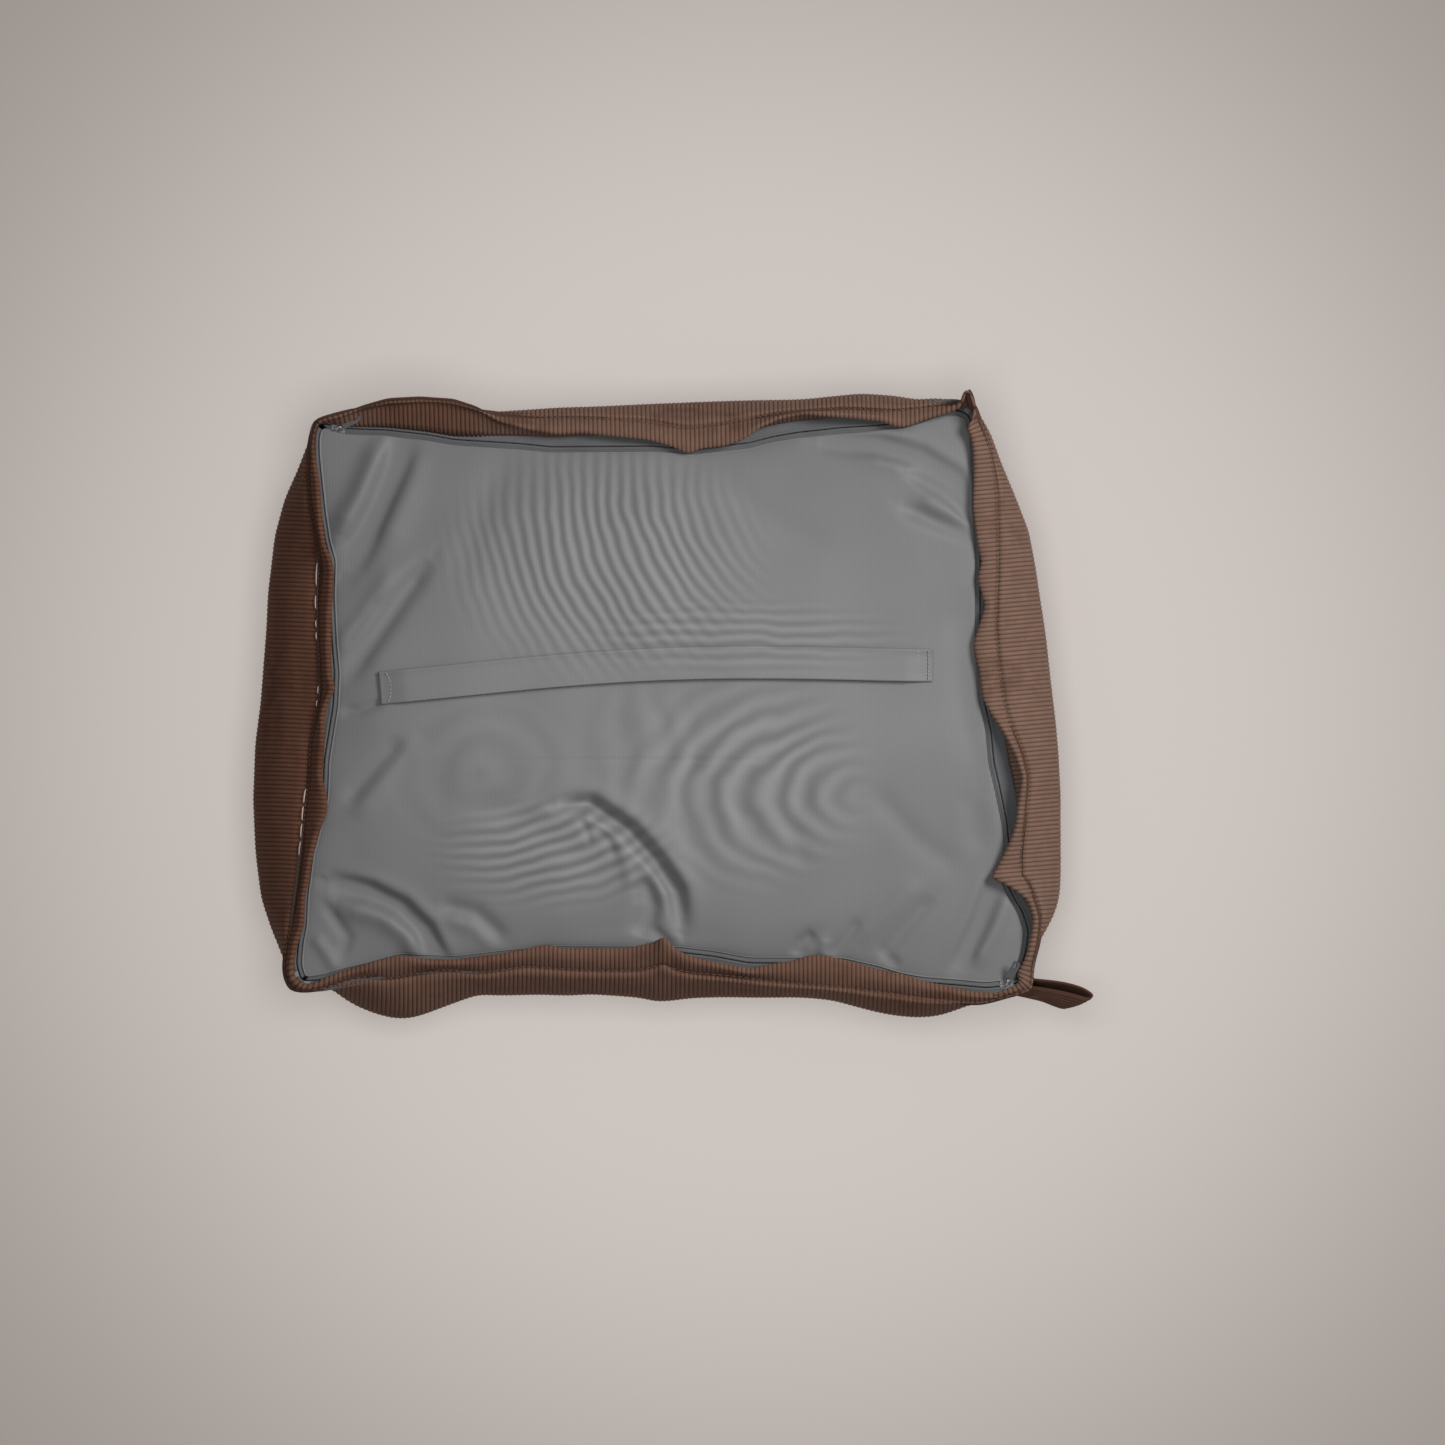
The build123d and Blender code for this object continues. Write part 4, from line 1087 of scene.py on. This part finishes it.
def tape_profile(inner_side):
    """Outline of a zip tape across the chain: flat where it is sewn, a raised welt beside the
    chain, and a groove at the chain's middle."""
    if inner_side:
        reach = np.array((-7.0, -3.2, -2.2, -1.3, -0.4, -0.25, -0.4, -1.3, -2.4, -7.0))
        rise = np.array((0.5, 0.5, 0.9, 1.6, 1.0, -0.3, -1.0, -0.6, -0.4, -0.1))
    else:
        reach = np.array((0.25, 0.4, 1.3, 2.3, 3.3, 4.6, 7.0, 7.0, 4.6, 2.4, 1.3, 0.4))
        rise = np.array((-0.3, 1.0, 1.6, 0.9, 0.6, 1.0, 0.5, -0.1, -0.2, -0.4, -0.6, -1.0))
    return reach, rise


CHAIN_STEP = 4.2  # the chain runs this far out from the hem, in millimetres
TAPE_COLUMNS = 300  # columns of a tape's grid to one station
COIL_REACH, COIL_DEPTH = 1.5, 1.5  # a coil's middle from the chain's, and under the tape
COIL_HALF_WIDTH, COIL_HALF_HEIGHT = 1.1, 0.7


def tape_grid(stations, inner_side):
    """A zip tape along the chain: its outline carried along the stations; the outer tape reaches
    under the lip's root."""
    reach, rise = tape_profile(inner_side)
    chain = at(RINGS["panel"], stations) + CHAIN_STEP
    stretch = np.ones_like(chain)
    if not inner_side:
        stretch = np.maximum(at(RINGS["zip"], stations) - CHAIN_STEP + 2.5, 4.0) / 7.0
    rows = []
    for across, up in zip(reach, rise):
        wide = across * stretch if across > 4 else across
        rows.append(rim(stations, chain + wide, TAPE_LEVEL + (up + 0.2) / 1000))
    return np.stack(rows)


def sew_zip_piece(name, grid, node, slot, bends):
    """A closed strip of a zip, whose place is baked into its mesh or which rides on the cover."""
    piece = make_piece(name, grid, tube_faces(*grid.shape[:2]), material_for(slot))
    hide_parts(node)
    if bends:
        bend_with_flap(piece)
    else:
        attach(piece, "cover")


def coil_grid(first, last, inner_side):
    """One coil under the tape's edge: a six-sided tube whose radius swells at each tooth."""
    teeth = int((last - first) * MEAN_SIDE / sizes().coil_pitch)
    stations = np.linspace(first, last, teeth * 4 + 1)
    swell = 0.75 + 0.25 * np.cos(np.arange(len(stations)) * np.pi / 2)
    side = -1 if inner_side else 1
    chain = at(RINGS["panel"], stations) + CHAIN_STEP
    rows = []
    for turn in np.arange(6) * np.pi / 3:
        across = side * (COIL_REACH + np.cos(turn) * COIL_HALF_WIDTH * swell)
        level = TAPE_LEVEL + (-COIL_DEPTH + np.sin(turn) * COIL_HALF_HEIGHT * swell) / 1000
        rows.append(rim(stations, chain + across, level))
    return np.stack(rows if inner_side else rows[::-1])


class BED_OT_zips(bpy.types.Operator):
    """Sew in the two zips: the upper one along the back and right, the lower along front and left"""

    bl_idname = "bed.zips"
    bl_label = "Zips"

    def execute(self, context):
        # Zip, first and last station, whether on the panel's side, part, and whether its place is baked in
        # rather than riding on the cover.
        runs = (
            ("upper_zip", 0.0, 2.0, False, "outer", False),
            ("upper_zip", 0.004, 1.996, True, "inner", True),
            ("lower_zip", 2.0, 4.0, False, "outer", False),
            ("lower_zip", 2.004, 2.996, True, "inner", True),
            ("lower_zip", 3.004, 3.996, True, "end", False),
        )
        for zip_name, first, last, inner_side, part, bends in runs:
            run = f"{zip_name}_{part}"
            stations = np.linspace(first, last, int((last - first) * TAPE_COLUMNS))
            tape = tape_grid(stations, inner_side)
            sew_zip_piece(f"{run}_cloth", tape, f"{run}_tape", "zip_tape", bends)
            coil = coil_grid(first + 0.004, last - 0.004, inner_side)
            sew_zip_piece(f"{run}_teeth", coil, f"{run}_coil", "zip_coil", bends)
        return {"FINISHED"}


# Middle of the strap in plan, in millimetres: it rises a little and then runs level.
STRAP_PLACES = ((-207, 15.0), (-165, 18.0), (-88, 27.0), (-13, 31.5), (75, 33.5), (152, 33.0), (206, 31.5))
# Outline of the strap's upper face: share of the half width, and share of the cloth's thickness.
STRAP_FACE = (
    (-1, 0.0), (-0.985, 0.6), (-0.93, 0.85), (-0.84, 0.8), (-0.8, 0.55), (-0.4, 0.7), (0, 0.75),
    (0.4, 0.7), (0.8, 0.55), (0.84, 0.8), (0.93, 0.85), (0.985, 0.6), (1.0, 0.0),
)
STRAP_CLOTH = 0.0009
STRAP_TILT = 0.0009  # how far the strap's edges stand off its middle's level at the right end
STRAP_SEWN = 0.022  # length at each end over which the strap comes down to the panel
STRAP_TOP = 0.0011  # edge of the strap's upper face over the base panel
STRAP_BACK = 0.0006  # back of the strap over the base panel


def strap_line():
    """Middle of the strap, the quartic through its places, and the unit vectors across it."""
    marks, places = np.array(STRAP_PLACES).T / 1000
    x = np.linspace(marks[0], marks[-1], 260)
    quartic = np.polyfit(marks, places, 4)
    slope = np.polyval(np.polyder(quartic), x)
    across = np.stack((-slope, np.ones_like(slope)), axis=1)
    across /= np.linalg.norm(across, axis=1)[:, None]
    return np.stack((x, np.polyval(quartic, x)), axis=1), across


def level_under_strap(middle, across):
    """The base panel's highest level across the strap, evened out along it by a bell of weights."""
    half = sizes().strap_width / 2
    under = np.max(
        [panel_level(middle + across * half * share) for share in (-0.9, 0.0, 0.9)], axis=0)
    window = np.hanning(25) / np.hanning(25).sum()
    return np.convolve(np.pad(under, 12, mode="edge"), window, mode="valid")


def strap_grid(middle, across, under):
    """The strap: its outline carried along, lifted off the panel between its ends by a smooth step,
    and tilted, more so to the right."""
    x = middle[:, 0]
    half = sizes().strap_width / 2
    free = np.clip(np.minimum(x - x[0], x[-1] - x) / STRAP_SEWN, 0, 1)
    lift = sizes().strap_lift * free * free * (3 - 2 * free)
    tilt = np.interp(x, (x[0], 0.0, x[-1]), (0.2, 0.6, 1.0)) * STRAP_TILT
    outline = [(share, STRAP_TOP, top * STRAP_CLOTH) for share, top in STRAP_FACE]
    outline += [(share, STRAP_BACK, 0.0) for share, _ in STRAP_FACE[-2:0:-1]]
    rows = []
    for share, gap, rise in outline:
        level = under + gap + lift - tilt * free * share + rise
        rows.append(raised(middle + across * half * share, level))
    return np.stack(rows)


def strap_end_rows(middle, across, under):
    """Starts and ends of the stitches: a bowed row at the left end and two straight ones at the
    right end.  Each row has its column of the strap and its bow in metres."""
    starts, ends = [], []
    shares = np.linspace(-0.93, 0.93, 9)
    half = sizes().strap_width / 2
    for column, bow in ((3, 0.004), (-3, 0.0), (-8, 0.0)):
        along = middle[column + 1] - middle[column]
        along /= np.linalg.norm(along)
        plan = middle[column] + across[column] * (half * shares)[:, None]
        plan += along * (bow * (1 - shares**2))[:, None]
        line = raised(plan, under[column] + STRAP_TOP + 0.0012)
        step = line[1:] - line[:-1]
        starts.append(line[:-1] + step * 0.08)
        ends.append(line[1:] - step * 0.08)
    return np.concatenate(starts), np.concatenate(ends)


class BED_OT_strap(bpy.types.Operator):
    """Sew the belt strap on at its two ends"""

    bl_idname = "bed.strap"
    bl_label = "Belt Strap"

    def execute(self, context):
        middle, across = strap_line()
        under = level_under_strap(middle, across)
        grid = strap_grid(middle, across, under)
        faces = tube_faces(*grid.shape[:2])[:, ::-1]
        piece = make_piece("belt_strap_cloth", grid, faces, material_for("base_cloth"), plan_of(grid))
        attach(piece, "base_flap")
        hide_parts("base_strap")
        starts, ends = strap_end_rows(middle, across, under)
        piece = stitches("strap_end_stitches", starts, ends, UP, 0.0008, "grey_thread")
        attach(piece, "base_flap")
        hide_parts("strap_stitching")
        return {"FINISHED"}


def row_on_cover(first, last, length, gap, offset, lift):
    """Starts and ends of stitches along the lip's row between two stations, at an offset in
    millimetres and a lift in metres over the cloth."""
    count = max(int((last - first) * MEAN_SIDE / (length + gap)), 1)
    begins = first + np.arange(count) * (last - first) / count
    ends = begins + (last - first) / count * length / (length + gap)
    points = []
    for stations in (begins, ends):
        level = TAPE_LEVEL + at(RINGS["stitch_height"], stations) / 1000 + lift
        points.append(rim(stations, at(RINGS["stitch"], stations) + offset, level))
    return points


class BED_OT_threads(bpy.types.Operator):
    """Sew the lip's row of stitches, the basting left in it and the tacks at the zips' ends"""

    bl_idname = "bed.threads"
    bl_label = "Threads"

    def execute(self, context):
        stitch_gap, needle_gap, tack_step = 0.0011, 0.0022, 0.0016
        starts, ends = row_on_cover(0.0, 4.0, sizes().stitch, stitch_gap, 0.0, 0.0009)
        piece = stitches("lip_row_stitches", starts, ends, UP, 0.0007, "brown_thread")
        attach(piece, "cover")
        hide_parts("lip_stitching")

        # Basting: first and last station of each run, and the length of its stitches.
        runs = (
            (3.225, 3.352, 0.011), (3.497, 3.512, 0.007), (3.520, 3.538, 0.008),
            (3.618, 3.636, 0.008), (3.640, 3.657, 0.008), (3.673, 3.703, 0.013),
            (3.715, 3.766, 0.012),
        )
        parts = [row_on_cover(low, high, long, needle_gap, 1.4, 0.0014) for low, high, long in runs]
        starts = np.concatenate([part[0] for part in parts])
        ends = np.concatenate([part[1] for part in parts])
        leaning = (-0.5, 0.0, 0.87)
        piece = stitches("basting_stitches", starts, ends, leaning, 0.0010, "basting_thread")
        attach(piece, "cover")
        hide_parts("basting_thread")

        starts, ends = [], []
        for station in (0.012, 0.985, 1.015, 1.985, 2.012, 2.988, 3.012, 3.985):
            for step in range(5):
                place = np.full(1, station + step * tack_step)
                root = at(RINGS["panel"], place) + CHAIN_STEP
                starts.append(rim(place, root + 0.5, TAPE_LEVEL + 0.0022))
                ends.append(rim(place, root + 5.0, TAPE_LEVEL + 0.0016))
        starts, ends = np.concatenate(starts), np.concatenate(ends)
        piece = stitches("zip_end_bar_tacks", starts, ends, UP, 0.0006, "grey_thread")
        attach(piece, "cover")
        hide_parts("zip_end_tacks")
        return {"FINISHED"}


LOOP_WIDTH, LOOP_BELLY, LOOP_CLOTH = 0.0245, 0.0012, 0.0016


class BED_OT_corner_loop(bpy.types.Operator):
    """Sew the corduroy loop into the front right corner"""

    bl_idname = "bed.corner_loop"
    bl_label = "Corner Loop"

    def execute(self, context):
        # Upper edge of the folded strap, from its root round the tip and back, in millimetres.
        upper = np.array((
            (272, -203, 100), (290, -204.5, 102), (306, -206.5, 102.5), (319, -210, 102),
            (327, -214.5, 101), (328.5, -217.5, 100.5), (325, -219.8, 100), (316, -217.5, 100),
            (303, -214.5, 100), (288, -212, 99.5), (272, -210, 98),
        ), float)
        # Its lower edge, which is hidden from above by the upper one.
        lower = np.array((
            (272, -213, 79), (288, -216, 79), (299, -219, 79), (307, -223, 79),
            (311, -225.5, 78.5), (311.5, -227, 78.2), (308, -229, 78.5), (301, -227, 78.5),
            (292, -223.5, 78.5), (282, -221, 78.5), (271, -218.5, 79),
        ), float)
        spans = (7,) * (len(upper) - 1)
        top_line = spline_rows(upper / 1000, spans)
        low_line = spline_rows(lower / 1000, spans)
        wales = round(LOOP_WIDTH / sizes().wale_pitch)
        places = np.append((np.arange(wales)[:, None] + WALE_SAMPLES).ravel(), wales)
        share = (places / wales)[:, None, None]
        belly = np.sin(np.pi * share) * LOOP_BELLY
        outer = low_line * (1 - share) + top_line * share
        normals = grid_normals(outer)
        outer = outer + normals * belly
        pile = np.broadcast_to(ridge(places)[:, None], outer.shape[:2])
        cloth = outer + normals * pile[..., None] * sizes().wale_height * 0.6
        lining = (outer - normals * LOOP_CLOTH)[::-1]
        grid = np.concatenate((cloth, lining))
        wale = np.concatenate((pile, np.full(lining.shape[:2], 0.25)))
        # the loop gets a fixed share of 0.7 painted shade
        piece = make_piece(
            "corner_loop_strap", grid, tube_faces(*grid.shape[:2]), material_for("corduroy"),
            {"wale": wale, "painted_shade": np.full(wale.shape, 0.7)})
        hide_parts("corner_loop")
        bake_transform(piece)
        starts = np.array([(0.2795 + 0.0015 * k, -0.2185, 0.080 + 0.004 * k) for k in range(5)])
        ends = starts + np.array((0.0012, 0.0006, 0.0036))
        outward = (0.0, -0.9, 0.4)
        tack = stitches("loop_root_tack", starts, ends, outward, 0.0008, "brown_thread")
        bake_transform(tack)
        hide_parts("loop_tack")
        return {"FINISHED"}


class BED_OT_hardware(bpy.types.Operator):
    """Finish the zip sliders and their pulls"""

    bl_idname = "bed.hardware"
    bl_label = "Sliders and Pulls"

    def execute(self, context):
        for name in ("slider_a", "slider_b", "slider_a_pull", "slider_b_pull"):
            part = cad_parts[name]
            part.data.materials.clear()
            part.data.materials.append(material_for("slider_metal"))
        return {"FINISHED"}


class BED_OT_stage(bpy.types.Operator):
    """Set out the floor, the soft lights and the overhead camera"""

    bl_idname = "bed.stage"
    bl_label = "Stage"

    def execute(self, context):
        scene = context.scene
        scene.view_settings.view_transform = "Standard"
        half = 12.0
        corners = np.array(((-half, -half, 0), (half, -half, 0), (half, half, 0), (-half, half, 0)))
        floor = make_piece("floor", corners, np.array(((0, 1, 2, 3),)), material_for("floor"))

        world = bpy.data.worlds.new("studio")
        world.use_nodes = True
        world.node_tree.nodes["Background"].inputs["Color"].default_value = (0.95, 0.97, 1.0, 1.0)
        world.node_tree.nodes["Background"].inputs["Strength"].default_value = 0.20
        scene.world = world

        only_floor = bpy.data.collections.new("lit by the floor's own light")
        only_floor.objects.link(floor)
        all_but_floor = bpy.data.collections.new("lit by the lamps of the bed")
        all_but_floor.objects.link(floor)
        all_but_floor.collection_objects[0].light_linking.link_state = "EXCLUDE"
        self.area_light("key", (1.55, 0.75, 1.85), 0.8, 43.0, (1.0, 0.985, 0.965), all_but_floor)
        self.area_light("overhead", (-0.03, -0.02, 1.1), 0.5, 2.5, (1.0, 0.99, 0.98), all_but_floor)
        self.area_light("floor lamp", (0.06, -0.01, 1.40), 0.5, 6.3, (1.0, 0.99, 0.98), only_floor)
        wash = bpy.data.objects.new("floor wash", bpy.data.lights.new("floor wash", "SUN"))
        wash.data.energy = 1.78
        wash.data.color = (1.0, 0.99, 0.98)
        wash.light_linking.receiver_collection = only_floor
        wash.light_linking.blocker_collection = only_floor
        scene.collection.objects.link(wash)

        camera = bpy.data.cameras.new("camera")
        camera.sensor_width = 36.0
        camera.lens = 75.07
        holder = bpy.data.objects.new("camera", camera)
        holder.location = (EYE[0], EYE[1], TAPE_LEVEL + EYE_HEIGHT)
        scene.collection.objects.link(holder)
        scene.camera = holder
        return {"FINISHED"}

    def area_light(self, name, place, size, power, rgb, receivers):
        """A square soft light that looks at the middle of the bed and lights its receivers."""
        light = bpy.data.lights.new(name, "AREA")
        light.shape = "SQUARE"
        light.size = size
        light.energy = power
        light.color = rgb
        lamp = bpy.data.objects.new(name, light)
        lamp.location = place
        aim = Vector((float(EYE[0]), float(EYE[1]), 0.06)) - Vector(place)
        lamp.rotation_mode = "QUATERNION"
        lamp.rotation_quaternion = aim.to_track_quat("-Z", "Y")
        lamp.light_linking.receiver_collection = receivers
        bpy.context.scene.collection.objects.link(lamp)


STEPS_IN_ORDER = (
    BED_OT_stage,
    BED_OT_inner_cushion,
    BED_OT_side_bands,
    BED_OT_sleeping_panel,
    BED_OT_base_panel,
    BED_OT_zips,
    BED_OT_strap,
    BED_OT_threads,
    BED_OT_corner_loop,
    BED_OT_hardware,
)


class BED_PT_panel(bpy.types.Panel):
    """Lists the steps and the sizes"""

    bl_label = "Cushion Bed"
    bl_idname = "BED_PT_panel"
    bl_space_type = "VIEW_3D"
    bl_region_type = "UI"
    bl_category = "Cushion Bed"

    def draw(self, context):
        layout = self.layout
        for step in STEPS_IN_ORDER:
            layout.operator(step.bl_idname)
        for group in (context.scene.bed_sizes, context.scene.bed_colours):
            box = layout.box()
            for name in group.__annotations__:
                box.prop(group, name)


CLASSES = (BedSizes, BedColours, *STEPS_IN_ORDER, BED_PT_panel)


def register():
    """Register the classes and hang the sizes and colours on the scene."""
    for cls in CLASSES:
        bpy.utils.register_class(cls)
    bpy.types.Scene.bed_sizes = bpy.props.PointerProperty(type=BedSizes)
    bpy.types.Scene.bed_colours = bpy.props.PointerProperty(type=BedColours)


def unregister():
    """Take the classes and the two groups away again."""
    del bpy.types.Scene.bed_colours
    del bpy.types.Scene.bed_sizes
    for cls in reversed(CLASSES):
        bpy.utils.unregister_class(cls)


def main():
    """Sew the whole bed."""
    register()
    bpy.ops.bed.stage()
    bpy.ops.bed.inner_cushion()
    bpy.ops.bed.side_bands()
    bpy.ops.bed.sleeping_panel()
    bpy.ops.bed.base_panel()
    bpy.ops.bed.zips()
    bpy.ops.bed.strap()
    bpy.ops.bed.threads()
    bpy.ops.bed.corner_loop()
    bpy.ops.bed.hardware()
    bpy.context.view_layer.update()


if __name__ == "__main__":
    main()
